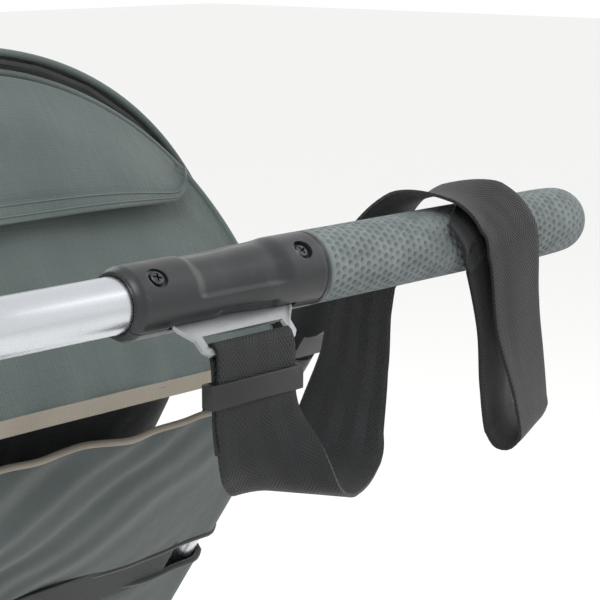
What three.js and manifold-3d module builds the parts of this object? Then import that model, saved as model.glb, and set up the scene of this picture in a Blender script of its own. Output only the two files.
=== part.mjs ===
// Three-wheeled jogging stroller with a swinging U-shaped push bar and a wrist strap.
// Millimetres, +Z up, +Y the way the stroller travels, +X to the pusher's right.
// The origin is the centre of the overall box, at the floor.

import * as THREE from 'three';
import { mergeVertices } from 'three/addons/utils/BufferGeometryUtils.js';
import Module from 'manifold-3d';

const wasm = await Module();
wasm.setup();

// ---------------------------------------------------------------- driving sizes

const GAP = 0.3; // air left between two pieces that touch on the real stroller
const RUNNING_GAP = 0.6; // air between two pieces that move against each other

// Side frame: one straight tube each side, leaning back from the fold joint.
const FRAME_HALF_WIDTH = 238; // centre line of a side tube from the middle of the stroller
const FOLD_HEIGHT = 505;
const FRAME_LEAN = THREE.MathUtils.degToRad(34.3); // from upright, towards the pusher
const UPPER_LENGTH = 514; // fold axis to handle pivot, along the side tube
const TUBE_RADIUS = 12.5;
const TUBE_WALL = 1.8;

// Push bar.
const BAR_REACH = 216; // handle pivot to the cross bar
const BAR_SLOPE = THREE.MathUtils.degToRad(18.9); // arms above level, going back
const BAR_BEND = 60;
const GRIP_RADIUS = 17.5;
const GRIP_ARM_LENGTH = 90; // grip left on the arm past the cross bar

// Coupling clamped on the cross bar, carrying the wrist strap.
const COUPLING_CENTRE = -61;
const COUPLING_LENGTH = 118;
const COUPLING_SCREW_SPACING = 89;
const COUPLING_TURN = THREE.MathUtils.degToRad(45); // parting plane, seen from the side
const FLANGE_RADIUS = 14.9;
const SCREW_HEAD_RADIUS = 3.3;
const SCREW_HEAD_HEIGHT = 1.6;
const SCREW_SHANK_RADIUS = 1.6;
const COUNTERBORE_RADIUS = 5;
const COUNTERBORE_FLOOR = 14.6; // from the bar's axis
const BRACKET_THICKNESS = 2;
const BRACKET_REACH = 34; // bar axis to the bracket's free edge
const BRACKET_SLOT = 6;
const STRAP_WIDTH = 48;
const STRAP_THICKNESS = 1.8;

// Handle pivots.
const PIVOT_RADIUS = 31;
const HUB_RADIUS = 27;
const HUB_HALF_WIDTH = 10.5;
const EAR_THICKNESS = 11;
const BRIDGE_REACH = 44; // pivot to the end of the housing's bridge, along the side tube
const BRIDGE_TUBE_START = 30;
const BUTTON_RADIUS = 10;
const BUTTON_TRAVEL = 4;
const BUTTON_PROUD = 5;
const PIN_RADIUS = 5;

// Hood.
const HOOD_MOUNT_AT = 452; // along the side tube from the fold axis
const HOOD_MOUNT_OFFSET = 24; // hood axis in front of the tube's centre line
const HOOD_HEIGHT = 192; // hood axis to the rear bow's crown
const HOOD_HALF_WIDTH = 206; // inside of the rear bow
const HOOD_BOW_ANGLE = THREE.MathUtils.degToRad(78); // rear bow above level, from the front
const HOOD_FRONT_ANGLE = THREE.MathUtils.degToRad(10);
const HOOD_SHEET = 2.4;
const HOOD_POST_RADIUS = 4;
const HOOD_EYE_RADIUS = 18; // flat ring at each end of a bow or panel
const HOOD_STEP = 5; // each panel sits this much outside the one behind it
const HOOD_EDGE_BACK = 53; // rear panel's lower edge behind the hood axis
const HOOD_EDGE_DROP = 5;
const FLAP_HALF_WIDTH = 158;
const FLAP_BOTTOM = 93; // above the hood axis

// Seat.
const SEAT_SLOPE = THREE.MathUtils.degToRad(15.5);
const RAIL_HALF_WIDTH = 165; // centre lines of the seat rail's side runs
const RAIL_RADIUS = 9;
const RAIL_LENGTH = 340; // along the seat's slope
const RAIL_DROP = 120; // rail's rear end under the fold axis
const CUSHION_HALF_WIDTH = 150;
const CUSHION_THICKNESS = 28;
const BACK_PAD_HALF_WIDTH = 165;
const BACK_PAD_THICKNESS = 30;
const BACK_PAD_TOP = 400; // along the side tube
const BACK_PAD_BOTTOM = 15;
const SLING_DEPTH = 34;
const SLING_TOP = 430;
const SLING_BOTTOM = 60;
const SLING_WINDOW_LOW = 256;
const SLING_WINDOW_HIGH = 292;

// Lower frame and wheels.
const WHEEL_SIDES = 32; // facets round a wheel; it stands on one of them
const REAR_WHEEL_RADIUS = 200;
const REAR_TYRE_WIDTH = 44;
const REAR_WHEEL_HALF_TRACK = 290;
const REAR_AXLE_BACK = 195; // behind the fold axis
const FRONT_WHEEL_RADIUS = 158;
const FRONT_TYRE_WIDTH = 48;
const FRONT_AXLE_AHEAD = 490;
const FORK_HALF_WIDTH = 58;
const FORK_KNEE = { x: 96, y: 335, z: -243 }; // bend of a fork tube, from the fold axis
const HUB_LENGTH = 84;
const AXLE_RADIUS = 6;
const STAY_RADIUS = 9;

// ---------------------------------------------------------------- finishes

/**
 * @param {number} colour sRGB hex
 * @param {number} roughness
 * @param {number} metalness
 */
function finish(colour, roughness, metalness = 0) {
  return new THREE.MeshStandardMaterial({ color: colour, roughness, metalness });
}

const FINISH = {
  aluminium: () => finish(0xc9ccd0, 0.32, 1),
  alloyRim: () => finish(0xb4b8bd, 0.3, 1),
  plate: () => finish(0xa9abad, 0.45, 1),
  steel: () => finish(0x3c3e41, 0.4, 1),
  charcoalPlastic: () => finish(0x33363a, 0.42),
  blackPlastic: () => finish(0x1d1f21, 0.5),
  greyRubber: () => finish(0x878d8d, 0.8),
  tyreRubber: () => finish(0x232425, 0.85),
  webbing: () => finish(0x232528, 0.75),
  hoodCloth: () => finish(0x6f7b79, 0.9),
  seatCloth: () => finish(0x55605f, 0.9),
  darkCloth: () => finish(0x25292a, 0.95),
  redPlastic: () => finish(0xa3302a, 0.5),
};

// ---------------------------------------------------------------- solids

/** A closed geometry as a manifold solid. */
function solid(geometry) {
  const bare = geometry.clone();
  bare.deleteAttribute('normal');
  bare.deleteAttribute('uv');
  const merged = mergeVertices(bare, 1e-4);
  return new wasm.Manifold(new wasm.Mesh({
    numProp: 3,
    vertProperties: new Float32Array(merged.attributes.position.array),
    triVerts: new Uint32Array(merged.index.array),
  }));
}

/** A manifold solid as a geometry. */
function surface(body) {
  const mesh = body.getMesh();
  const geometry = new THREE.BufferGeometry();
  geometry.setAttribute('position', new THREE.BufferAttribute(mesh.vertProperties, 3));
  geometry.setIndex(new THREE.BufferAttribute(mesh.triVerts, 1));
  geometry.computeVertexNormals();
  return geometry;
}

/** @param {THREE.BufferGeometry} base @param {{add?: [], cut?: []}} changes */
function carve(base, { add = [], cut = [] }) {
  let body = solid(base);
  for (const piece of add) body = body.add(solid(piece));
  for (const piece of cut) body = body.subtract(solid(piece));
  return surface(body);
}

/** Radius that a many-sided hole needs so that its flats clear a round of this radius. */
function holeRadius(radius, gap, sides) {
  return (radius + gap) / Math.cos(Math.PI / sides);
}

/** A rod along X, centred on x unless from and to are given. */
function rodX(radius, from, to, sides = 24) {
  const geometry = new THREE.CylinderGeometry(radius, radius, to - from, sides);
  geometry.rotateZ(Math.PI / 2);
  geometry.translate((from + to) / 2, 0, 0);
  return geometry;
}

/** A box between two corners. */
function block(low, high) {
  const size = high.map((value, axis) => value - low[axis]);
  const geometry = new THREE.BoxGeometry(...size);
  geometry.translate(...low.map((value, axis) => value + size[axis] / 2));
  return geometry;
}

/** A solid of revolution about the X axis, from (x, radius) pairs that close on themselves. */
function turnedX(outline, sides) {
  const profile = outline.map(([x, radius]) => new THREE.Vector2(radius, x));
  profile.push(profile[0].clone());
  const geometry = new THREE.LatheGeometry(profile, sides);
  geometry.rotateZ(-Math.PI / 2);
  return geometry;
}

/** A straight-sided outline in the XY plane, extruded along Z from low to high. */
function prismZ(points, low, high, holes = []) {
  const shape = new THREE.Shape(points.map(([x, y]) => new THREE.Vector2(x, y)));
  for (const hole of holes) shape.holes.push(new THREE.Path(hole.map(([x, y]) => new THREE.Vector2(x, y))));
  const geometry = new THREE.ExtrudeGeometry(shape, { depth: high - low, bevelEnabled: false });
  geometry.translate(0, 0, low);
  return geometry;
}

/** An outline in the YZ plane, extruded along X from low to high. */
function prismX(points, low, high) {
  const geometry = prismZ(points, low, high);
  geometry.applyMatrix4(new THREE.Matrix4().makeBasis(
    new THREE.Vector3(0, 1, 0), new THREE.Vector3(0, 0, 1), new THREE.Vector3(1, 0, 0)));
  return geometry;
}

/** A rectangle with rounded corners, as a list of points. */
function roundedRectangle(halfWidth, halfHeight, radius, steps = 3) {
  const points = [];
  for (let corner = 0; corner < 4; corner += 1) {
    const signX = corner === 0 || corner === 3 ? 1 : -1;
    const signY = corner < 2 ? 1 : -1;
    for (let step = 0; step <= steps; step += 1) {
      const angle = (corner + step / steps) * Math.PI / 2;
      points.push([
        signX * (halfWidth - radius) + radius * Math.cos(angle),
        signY * (halfHeight - radius) + radius * Math.sin(angle),
      ]);
    }
  }
  return points;
}

/** A path with stations where a swept section is wanted, and a chosen way for its width. */
class StationPath extends THREE.Curve {
  /**
   * @param {THREE.Vector3[]} points stations
   * @param {THREE.Vector3[]} tangents direction of travel at each station
   * @param {THREE.Vector3} across the section's width lies along this, squared to the path
   */
  constructor(points, tangents, across) {
    super();
    this.points = points;
    this.tangents = tangents;
    this.across = across;
  }

  get steps() {
    return this.points.length - 1;
  }

  getUtoTmapping(u) {
    return u;
  }

  at(list, t) {
    const place = THREE.MathUtils.clamp(t, 0, 1) * this.steps;
    const index = Math.min(Math.floor(place + 1e-6), this.steps - 1);
    return list[index].clone().lerp(list[index + 1], place - index);
  }

  getPoint(t) {
    return this.at(this.points, t);
  }

  getTangent(t) {
    return this.at(this.tangents, t).normalize();
  }

  computeFrenetFrames(segments) {
    const frames = { tangents: [], normals: [], binormals: [] };
    for (let index = 0; index <= segments; index += 1) {
      const tangent = this.getTangent(index / segments);
      const normal = this.across.clone().addScaledVector(tangent, -this.across.dot(tangent)).normalize();
      frames.tangents.push(tangent);
      frames.normals.push(normal);
      frames.binormals.push(tangent.clone().cross(normal));
    }
    return frames;
  }
}

/** Straight runs between corners, joined by arcs of one bend radius. */
function bentPath(corners, bend, arcSteps = 5) {
  const vectors = corners.map((corner) => new THREE.Vector3(...corner));
  const points = [vectors[0]];
  const tangents = [vectors[1].clone().sub(vectors[0]).normalize()];
  for (let index = 1; index < vectors.length - 1; index += 1) {
    const before = vectors[index].clone().sub(vectors[index - 1]).normalize();
    const after = vectors[index + 1].clone().sub(vectors[index]).normalize();
    const turn = before.angleTo(after);
    const setback = bend * Math.tan(turn / 2);
    const start = vectors[index].clone().addScaledVector(before, -setback);
    const axis = before.clone().cross(after).normalize();
    const centre = start.clone().addScaledVector(axis.clone().cross(before), bend);
    for (let step = 0; step <= arcSteps; step += 1) {
      const angle = turn * step / arcSteps;
      points.push(start.clone().sub(centre).applyAxisAngle(axis, angle).add(centre));
      tangents.push(before.clone().applyAxisAngle(axis, angle));
    }
  }
  points.push(vectors.at(-1));
  tangents.push(vectors.at(-1).clone().sub(vectors.at(-2)).normalize());
  const plane = tangents[0].clone().cross(tangents.at(-1));
  if (plane.length() < 1e-3) plane.copy(tangents[0]).cross(tangents[Math.floor(tangents.length / 2)]);
  if (plane.length() < 1e-3) plane.crossVectors(tangents[0], new THREE.Vector3(0.3, 0.5, 0.8));
  return new StationPath(points, tangents, plane.normalize());
}

/** A smooth path through points, with evenly spaced stations. */
function smoothPath(points, steps, across) {
  const curve = new THREE.CatmullRomCurve3(points.map((point) => new THREE.Vector3(...point)));
  const stations = curve.getSpacedPoints(steps);
  const tangents = stations.map((_, index) => curve.getTangentAt(index / steps));
  return new StationPath(stations, tangents, across);
}

/** A section swept along a path. */
function sweep(shape, path) {
  return new THREE.ExtrudeGeometry(shape, { steps: path.steps, bevelEnabled: false, extrudePath: path });
}

/** Corner points of a many-sided round. */
function circlePoints(radius, sides) {
  return Array.from({ length: sides }, (_, index) => {
    const angle = (index + 0.5) * 2 * Math.PI / sides;
    return new THREE.Vector2(radius * Math.cos(angle), radius * Math.sin(angle));
  });
}

/** A hollow tube along a path, open at both ends. */
function tube(path, outer, inner, sides = 10) {
  const shape = new THREE.Shape(circlePoints(outer, sides));
  shape.holes.push(new THREE.Path(circlePoints(inner, sides)));
  return sweep(shape, path);
}

/** A solid round bar along a path. */
function bar(path, radius, sides = 12) {
  return sweep(new THREE.Shape(circlePoints(radius, sides)), path);
}

/** Adds a named mesh to a group. */
function place(parent, name, geometry, material) {
  const mesh = new THREE.Mesh(geometry, material);
  mesh.name = name;
  parent.add(mesh);
  return mesh;
}

/** Runs a builder for the left side (-1) and the right side (+1). */
function bothSides(build) {
  build(-1, 'left');
  build(1, 'right');
}

/** Low and high of two values. */
function ordered(a, b) {
  return [Math.min(a, b), Math.max(a, b)];
}

/** A rod along X between two values given in either order. */
function pegX(radius, a, b, sides) {
  return rodX(radius, ...ordered(a, b), sides);
}

// ---------------------------------------------------------------- groups

const stroller = new THREE.Group();
const side = new THREE.Group(); // origin on the fold axis, level with the floor's axes
side.position.set(0, 0, FOLD_HEIGHT);
stroller.add(side);

const upper = new THREE.Group(); // +Z along the side tubes, +Y towards the child
upper.rotation.x = FRAME_LEAN;
side.add(upper);

const handle = new THREE.Group(); // -Y along the arms, from the handle pivot
handle.position.z = UPPER_LENGTH;
handle.rotation.x = -(BAR_SLOPE + FRAME_LEAN);
upper.add(handle);

const cross = new THREE.Group(); // on the cross bar, level with the floor's axes
cross.position.y = -BAR_REACH;
cross.rotation.x = BAR_SLOPE;
handle.add(cross);

const clamp = new THREE.Group(); // +Z out through the rear shell, -Y out along the bracket
clamp.position.x = COUPLING_CENTRE;
clamp.rotation.x = COUPLING_TURN;
cross.add(clamp);

// ---------------------------------------------------------------- push bar

const SOCKET_LENGTH = 46; // handle hub's socket, from the pivot
const SOCKET_RADIUS = 15.5;
const armStart = -(SOCKET_LENGTH - 14);

function barPath(corners) {
  return bentPath(corners, BAR_BEND);
}

const barTube = tube(barPath([
  [-FRAME_HALF_WIDTH, armStart, 0],
  [-FRAME_HALF_WIDTH, -BAR_REACH, 0],
  [FRAME_HALF_WIDTH, -BAR_REACH, 0],
  [FRAME_HALF_WIDTH, armStart, 0],
]), TUBE_RADIUS, TUBE_RADIUS - TUBE_WALL);
place(handle, 'handlebar_tube', barTube, FINISH.aluminium());

/** One grip along part of the bar. */
function grip(corners) {
  return tube(barPath(corners), GRIP_RADIUS, TUBE_RADIUS + GAP);
}
// The right grip goes from the coupling round the bend; the left one is on the arm alone.
place(handle, 'grip_right', grip([
  [COUPLING_CENTRE + COUPLING_LENGTH / 2 + GAP, -BAR_REACH, 0],
  [FRAME_HALF_WIDTH, -BAR_REACH, 0],
  [FRAME_HALF_WIDTH, -BAR_REACH + GRIP_ARM_LENGTH, 0],
]), FINISH.greyRubber());
place(handle, 'grip_left', grip([
  [-FRAME_HALF_WIDTH, -BAR_REACH + BAR_BEND + 1, 0],
  [-FRAME_HALF_WIDTH, -SOCKET_LENGTH - 16, 0],
]), FINISH.greyRubber());

/** Hub that turns between the housing's ears and holds the end of an arm. */
function handleHub(x) {
  const disc = pegX(HUB_RADIUS, x - HUB_HALF_WIDTH, x + HUB_HALF_WIDTH, 24);
  const socket = new THREE.CylinderGeometry(SOCKET_RADIUS, SOCKET_RADIUS + 2, SOCKET_LENGTH, 16);
  socket.rotateX(Math.PI);
  socket.translate(x, -SOCKET_LENGTH / 2 - 6, 0);
  const waist = block([x - HUB_HALF_WIDTH, -SOCKET_LENGTH, -40], [x + HUB_HALF_WIDTH, 0, 40]);
  const neck = surface(solid(socket).intersect(solid(waist)
    .add(solid(block([x - 40, -SOCKET_LENGTH - 40, -40], [x + 40, -PIVOT_RADIUS - RUNNING_GAP, 40])))));
  const armHole = new THREE.CylinderGeometry(
    holeRadius(TUBE_RADIUS, GAP, 12), holeRadius(TUBE_RADIUS, GAP, 12), SOCKET_LENGTH, 12);
  armHole.rotateY(Math.PI / 12);
  armHole.translate(x, armStart + GAP - SOCKET_LENGTH / 2, 0);
  const pinHole = pegX(holeRadius(PIN_RADIUS, RUNNING_GAP, 16), x - 20, x + 20, 16);
  return carve(disc, { add: [neck], cut: [armHole, pinHole] });
}

/** Housing on the side tube: two ears round the hub, a bridge, and a pin through the hub. */
function pivotHousing(x, sign) {
  const half = HUB_HALF_WIDTH + RUNNING_GAP + EAR_THICKNESS;
  const body = pegX(PIVOT_RADIUS, x - half, x + half, 24);
  const bridge = block([x - half, -PIVOT_RADIUS * 0.62, -BRIDGE_REACH], [x + half, PIVOT_RADIUS * 0.62, 0]);
  const slotHalf = HUB_HALF_WIDTH + RUNNING_GAP;
  const hubRoom = pegX(HUB_RADIUS + 1.4, x - slotHalf, x + slotHalf, 24);
  const sweepRoom = block([x - slotHalf, -60, -24], [x + slotHalf, 60, 60]);
  const buttonHole = pegX(holeRadius(BUTTON_RADIUS, RUNNING_GAP, 24), x, x + sign * (half + 5), 24);
  const tubeHole = new THREE.CylinderGeometry(
    holeRadius(TUBE_RADIUS, GAP, 12), holeRadius(TUBE_RADIUS, GAP, 12), 40, 12);
  tubeHole.rotateX(Math.PI / 2);
  tubeHole.rotateZ(Math.PI / 12);
  tubeHole.translate(x, 0, -BRIDGE_TUBE_START - 20);
  const pin = pegX(PIN_RADIUS, x - sign * (half - 1), x + sign * (HUB_HALF_WIDTH - 1), 16);
  const open = carve(body, { add: [bridge], cut: [hubRoom, sweepRoom, buttonHole, tubeHole] });
  return carve(open, { add: [pin] });
}

/** Push button in the housing's outer ear; pressed, it slides in by its travel. */
function pivotButton(x, sign) {
  const inner = x + sign * (HUB_HALF_WIDTH + RUNNING_GAP + BUTTON_TRAVEL);
  const outer = x + sign * (HUB_HALF_WIDTH + RUNNING_GAP + EAR_THICKNESS + BUTTON_PROUD);
  const rim = outer - sign * 1.5;
  const body = pegX(BUTTON_RADIUS, inner, rim, 24);
  const crown = pegX(BUTTON_RADIUS - 1.5, rim - sign, outer, 24);
  return carve(body, { add: [crown] });
}

const pivotCarrier = new THREE.Group();
pivotCarrier.position.z = UPPER_LENGTH;
upper.add(pivotCarrier);

bothSides((sign, name) => {
  const x = sign * FRAME_HALF_WIDTH;
  place(handle, `handle_hub_${name}`, handleHub(x), FINISH.blackPlastic());
  place(pivotCarrier, `pivot_housing_${name}`, pivotHousing(x, sign), FINISH.blackPlastic());
  place(pivotCarrier, `pivot_button_${name}`, pivotButton(x, sign), FINISH.charcoalPlastic());
});

// ---------------------------------------------------------------- coupling and wrist strap

const HALF_COUPLING = COUPLING_LENGTH / 2;

/** One half of the coupling, on the side of the parting plane that sign names. */
function couplingShell(sign) {
  const inner = holeRadius(TUBE_RADIUS, GAP, 12);
  const outline = [
    [-HALF_COUPLING, inner], [-HALF_COUPLING, FLANGE_RADIUS], [-HALF_COUPLING + 4, FLANGE_RADIUS + 1.6],
    [-HALF_COUPLING + 26, FLANGE_RADIUS + 1.6], [-HALF_COUPLING + 34, GRIP_RADIUS - 1.6],
    [HALF_COUPLING - 38, GRIP_RADIUS - 1.6], [HALF_COUPLING - 26, GRIP_RADIUS],
    [HALF_COUPLING, GRIP_RADIUS], [HALF_COUPLING, inner],
  ];
  const body = turnedX(outline, 20);
  const depth = sign > 0 ? [0, GAP / 2] : [GAP / -2, 0];
  const keep = sign > 0
    ? block([-100, -40, GAP / 2], [100, 40, 40])
    : block([-100, -40, -40], [100, 40, -GAP / 2]);
  const plateRoom = block(
    [-HALF_COUPLING + 20, -40, -BRACKET_THICKNESS / 2 - GAP + depth[0]],
    [HALF_COUPLING - 20, -TUBE_RADIUS - GAP, BRACKET_THICKNESS / 2 + GAP + depth[1]]);
  let half = solid(body).intersect(solid(keep)).subtract(solid(plateRoom));
  for (const end of [-1, 1]) {
    const hole = new THREE.CylinderGeometry(SCREW_SHANK_RADIUS + GAP, SCREW_SHANK_RADIUS + GAP, 60, 12);
    hole.rotateX(Math.PI / 2);
    hole.translate(end * COUPLING_SCREW_SPACING / 2, 0, 30 * sign);
    const bore = new THREE.CylinderGeometry(COUNTERBORE_RADIUS, COUNTERBORE_RADIUS, 30, 20);
    bore.rotateX(Math.PI / 2);
    bore.translate(end * COUPLING_SCREW_SPACING / 2, 0, COUNTERBORE_FLOOR + 15);
    if (sign > 0) half = half.subtract(solid(hole)).subtract(solid(bore));
  }
  return surface(half);
}
place(clamp, 'coupling_rear_shell', couplingShell(1), FINISH.charcoalPlastic());
place(clamp, 'coupling_front_shell', couplingShell(-1), FINISH.charcoalPlastic());

/** Cross-head screw, head on the counterbore's floor. */
function couplingScrew() {
  const head = new THREE.CylinderGeometry(SCREW_HEAD_RADIUS - 0.8, SCREW_HEAD_RADIUS, SCREW_HEAD_HEIGHT, 16);
  head.rotateX(Math.PI / 2);
  head.translate(0, 0, COUNTERBORE_FLOOR + GAP + SCREW_HEAD_HEIGHT / 2);
  const shankLow = TUBE_RADIUS + GAP;
  const shank = new THREE.CylinderGeometry(SCREW_SHANK_RADIUS, SCREW_SHANK_RADIUS, 3, 12);
  shank.rotateX(Math.PI / 2);
  shank.translate(0, 0, shankLow + 1.5);
  const top = COUNTERBORE_FLOOR + GAP + SCREW_HEAD_HEIGHT;
  const recess = [
    block([-2, -0.45, top - 0.9], [2, 0.45, top + 1]),
    block([-0.45, -2, top - 0.9], [0.45, 2, top + 1]),
  ];
  return carve(head, { add: [shank], cut: recess });
}
[-1, 1].forEach((end, index) => {
  const screw = place(clamp, `coupling_screw_${index + 1}`, couplingScrew(), FINISH.steel());
  screw.position.x = end * COUPLING_SCREW_SPACING / 2;
});

/** Slotted plate held between the shells. */
function strapBracket() {
  const half = STRAP_WIDTH / 2;
  const root = -TUBE_RADIUS - 2 * GAP;
  const outline = [[-half - 13, root], [half + 13, root], [half + 11, root - 6], [half + 5.5, root - 12],
    [half + 5, -BRACKET_REACH + 3], [half + 2, -BRACKET_REACH], [-half - 2, -BRACKET_REACH],
    [-half - 5, -BRACKET_REACH + 3], [-half - 5.5, root - 12], [-half - 11, root - 6]];
  const slotHigh = -BRACKET_REACH + 4 + BRACKET_SLOT;
  const slotLow = -BRACKET_REACH + 4;
  const slot = [[-half - 1, slotLow], [half + 1, slotLow], [half + 1, slotHigh], [-half - 1, slotHigh]];
  return prismZ(outline, -BRACKET_THICKNESS / 2, BRACKET_THICKNESS / 2, [slot]);
}
place(clamp, 'strap_bracket', strapBracket(), FINISH.plate());

// The wrist strap leaves the bracket, hangs in a slack bight and goes up behind the grip.
// It lies over the grip and ends in a loop in front of it. Points are from the cross bar.
const LOOP_RADIUS = GRIP_RADIUS + 6.5;
const INNER_RADIUS = GRIP_RADIUS + 3.5;

/** A point on a round about the grip's axis; 0 degrees is ahead of the grip, 90 above. */
function roundGrip(x, radius, degrees) {
  const angle = THREE.MathUtils.degToRad(degrees);
  return [x, radius * Math.cos(angle), radius * Math.sin(angle)];
}
const strapRoute = [
  [-61, -25.5, -27.5], [-63, -26, -41], [-62, -27, -63], [-47, -25, -88], [-15, -12, -109],
  [20, 3, -110], [44, 11, -90], [57, 17, -58], roundGrip(66, LOOP_RADIUS + 4, -42),
  roundGrip(72, LOOP_RADIUS, -5), roundGrip(86, LOOP_RADIUS, 45), roundGrip(101, LOOP_RADIUS, 90),
  roundGrip(113, LOOP_RADIUS, 135), roundGrip(122, LOOP_RADIUS + 1, 180),
  [131, -25, -40], [140, -25, -72], [149, -24, -98], [154, -18.5, -108], [151, -14, -99], [140, -15.5, -72],
  [128, -19, -40], roundGrip(115, INNER_RADIUS + 1, 196), roundGrip(111, INNER_RADIUS, 176),
  roundGrip(107, INNER_RADIUS, 156), roundGrip(103, INNER_RADIUS, 136), roundGrip(100, INNER_RADIUS, 116),
];
const [halfStrap, halfThickness] = [STRAP_WIDTH / 2, STRAP_THICKNESS / 2];
const strapSection = new THREE.Shape([
  new THREE.Vector2(-halfStrap, -halfThickness), new THREE.Vector2(halfStrap, -halfThickness),
  new THREE.Vector2(halfStrap, halfThickness), new THREE.Vector2(-halfStrap, halfThickness),
]);
place(cross, 'wrist_strap', sweep(strapSection, smoothPath(strapRoute, 68, new THREE.Vector3(1, 0, 0))),
  FINISH.webbing());

/** Flat buckle round the strap. */
function strapSlide() {
  const outer = block([-STRAP_WIDTH / 2 - 4.5, -3.5, -5.5], [STRAP_WIDTH / 2 + 4.5, 3.5, 5.5]);
  const room = block([-STRAP_WIDTH / 2 - 1.5, -2.2, -10], [STRAP_WIDTH / 2 + 1.5, 2.2, 10]);
  return carve(outer, { cut: [room] });
}
const slide = place(cross, 'strap_slide', strapSlide(), FINISH.blackPlastic());
slide.position.set(-63, -26, -41);

// ---------------------------------------------------------------- upper frame

const EAR_RADIUS = 26;
const FOLD_EAR_HALF = 7;

/** Straight tube along Z in a group. */
function uprightTube(x, low, high, radius, inner) {
  return tube(bentPath([[x, 0, low], [x, 0, high]], 0), radius, inner);
}

/** Tongue at the bottom of the side tube, turning between the fold joint's cheeks. */
function foldEar(x) {
  const disc = pegX(EAR_RADIUS, x - FOLD_EAR_HALF, x + FOLD_EAR_HALF, 20);
  const shank = block([x - FOLD_EAR_HALF, -13, 0], [x + FOLD_EAR_HALF, 13, 34]);
  const sleeve = new THREE.CylinderGeometry(17, 17, 42, 14);
  sleeve.rotateX(Math.PI / 2);
  sleeve.translate(x, 0, 34 + 21);
  const socket = new THREE.CylinderGeometry(
    holeRadius(TUBE_RADIUS, GAP, 12), holeRadius(TUBE_RADIUS, GAP, 12), 60, 12);
  socket.rotateX(Math.PI / 2);
  socket.rotateZ(Math.PI / 12);
  socket.translate(x, 0, 44 + 30);
  const pinHole = pegX(holeRadius(PIN_RADIUS, RUNNING_GAP, 16), x - 20, x + 20, 16);
  return carve(disc, { add: [shank, sleeve], cut: [socket, pinHole] });
}

/** Clip round the side tube with an ear for the hood's axis. */
function hoodMount(x, sign) {
  const collar = new THREE.CylinderGeometry(17, 17, 20, 18);
  collar.rotateX(Math.PI / 2);
  collar.translate(x, 0, HOOD_MOUNT_AT);
  const ear = block([x - 5, 0, HOOD_MOUNT_AT - 10], [x + 5, HOOD_MOUNT_OFFSET, HOOD_MOUNT_AT + 10]);
  const boss = pegX(10, x - 5, x + 5, 20);
  boss.translate(0, HOOD_MOUNT_OFFSET, HOOD_MOUNT_AT);
  const post = pegX(HOOD_POST_RADIUS, x - sign * 4, sign * (HOOD_HALF_WIDTH - 3), 14);
  post.translate(0, HOOD_MOUNT_OFFSET, HOOD_MOUNT_AT);
  const tubeHole = new THREE.CylinderGeometry(
    holeRadius(TUBE_RADIUS, GAP, 12), holeRadius(TUBE_RADIUS, GAP, 12), 80, 12);
  tubeHole.rotateX(Math.PI / 2);
  tubeHole.rotateZ(Math.PI / 12);
  tubeHole.translate(x, 0, HOOD_MOUNT_AT);
  return carve(collar, { add: [ear, boss, post], cut: [tubeHole] });
}

bothSides((sign, name) => {
  const x = sign * FRAME_HALF_WIDTH;
  place(upper, `upper_tube_${name}`, uprightTube(x, 44 + GAP, UPPER_LENGTH - BRIDGE_TUBE_START - GAP, TUBE_RADIUS,
    TUBE_RADIUS - TUBE_WALL), FINISH.aluminium());
  place(upper, `fold_ear_${name}`, foldEar(x), FINISH.blackPlastic());
  place(upper, `hood_mount_${name}`, hoodMount(x, sign), FINISH.blackPlastic());
});

const CROSS_AT = (SLING_WINDOW_LOW + SLING_WINDOW_HIGH) / 2;
const crossEnd = FRAME_HALF_WIDTH - TUBE_RADIUS - GAP;
const crossTube = tube(bentPath([[-crossEnd, 0, CROSS_AT], [crossEnd, 0, CROSS_AT]], 0), 10, 8.2);
place(upper, 'upper_cross_tube', crossTube, FINISH.aluminium());

/** Cloth slung round both side tubes, open where the cross tube runs. */
function seatBackSling() {
  const half = FRAME_HALF_WIDTH + SLING_DEPTH / 2;
  const outer = prismZ(roundedRectangle(half, SLING_DEPTH / 2, 12), SLING_BOTTOM + 40, SLING_TOP);
  const holes = [-1, 1].map((sign) => {
    const hole = new THREE.CylinderGeometry(TUBE_RADIUS + 2, TUBE_RADIUS + 2, 900, 16);
    hole.rotateX(Math.PI / 2);
    hole.translate(sign * FRAME_HALF_WIDTH, 0, 0);
    return hole;
  });
  const pocket = block([-FRAME_HALF_WIDTH + 24, -SLING_DEPTH, 0], [FRAME_HALF_WIDTH - 24, 5, 900]);
  const windows = [-1, 1].map((sign) => {
    const [low, high] = ordered(sign * (FRAME_HALF_WIDTH - 26), sign * (FRAME_HALF_WIDTH + 60));
    return block([low, -40, SLING_WINDOW_LOW], [high, 40, SLING_WINDOW_HIGH]);
  });
  const tubeRoom = pegX(14, -300, 300, 20);
  tubeRoom.translate(0, 0, CROSS_AT);
  return carve(outer, { cut: [...holes, pocket, ...windows, tubeRoom] });
}
place(upper, 'seat_back_sling', seatBackSling(), FINISH.seatCloth());

// ---------------------------------------------------------------- seat back

const PAD_REAR = SLING_DEPTH / 2 + 3; // pad's back face in front of the side tubes' plane
const backPad = prismZ(
  roundedRectangle(BACK_PAD_HALF_WIDTH, (BACK_PAD_TOP - BACK_PAD_BOTTOM) / 2, 45, 4), 0, BACK_PAD_THICKNESS);
backPad.rotateX(Math.PI / 2);
backPad.translate(0, PAD_REAR + BACK_PAD_THICKNESS, (BACK_PAD_TOP + BACK_PAD_BOTTOM) / 2);
place(upper, 'seat_back_pad', backPad, FINISH.darkCloth());

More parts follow.
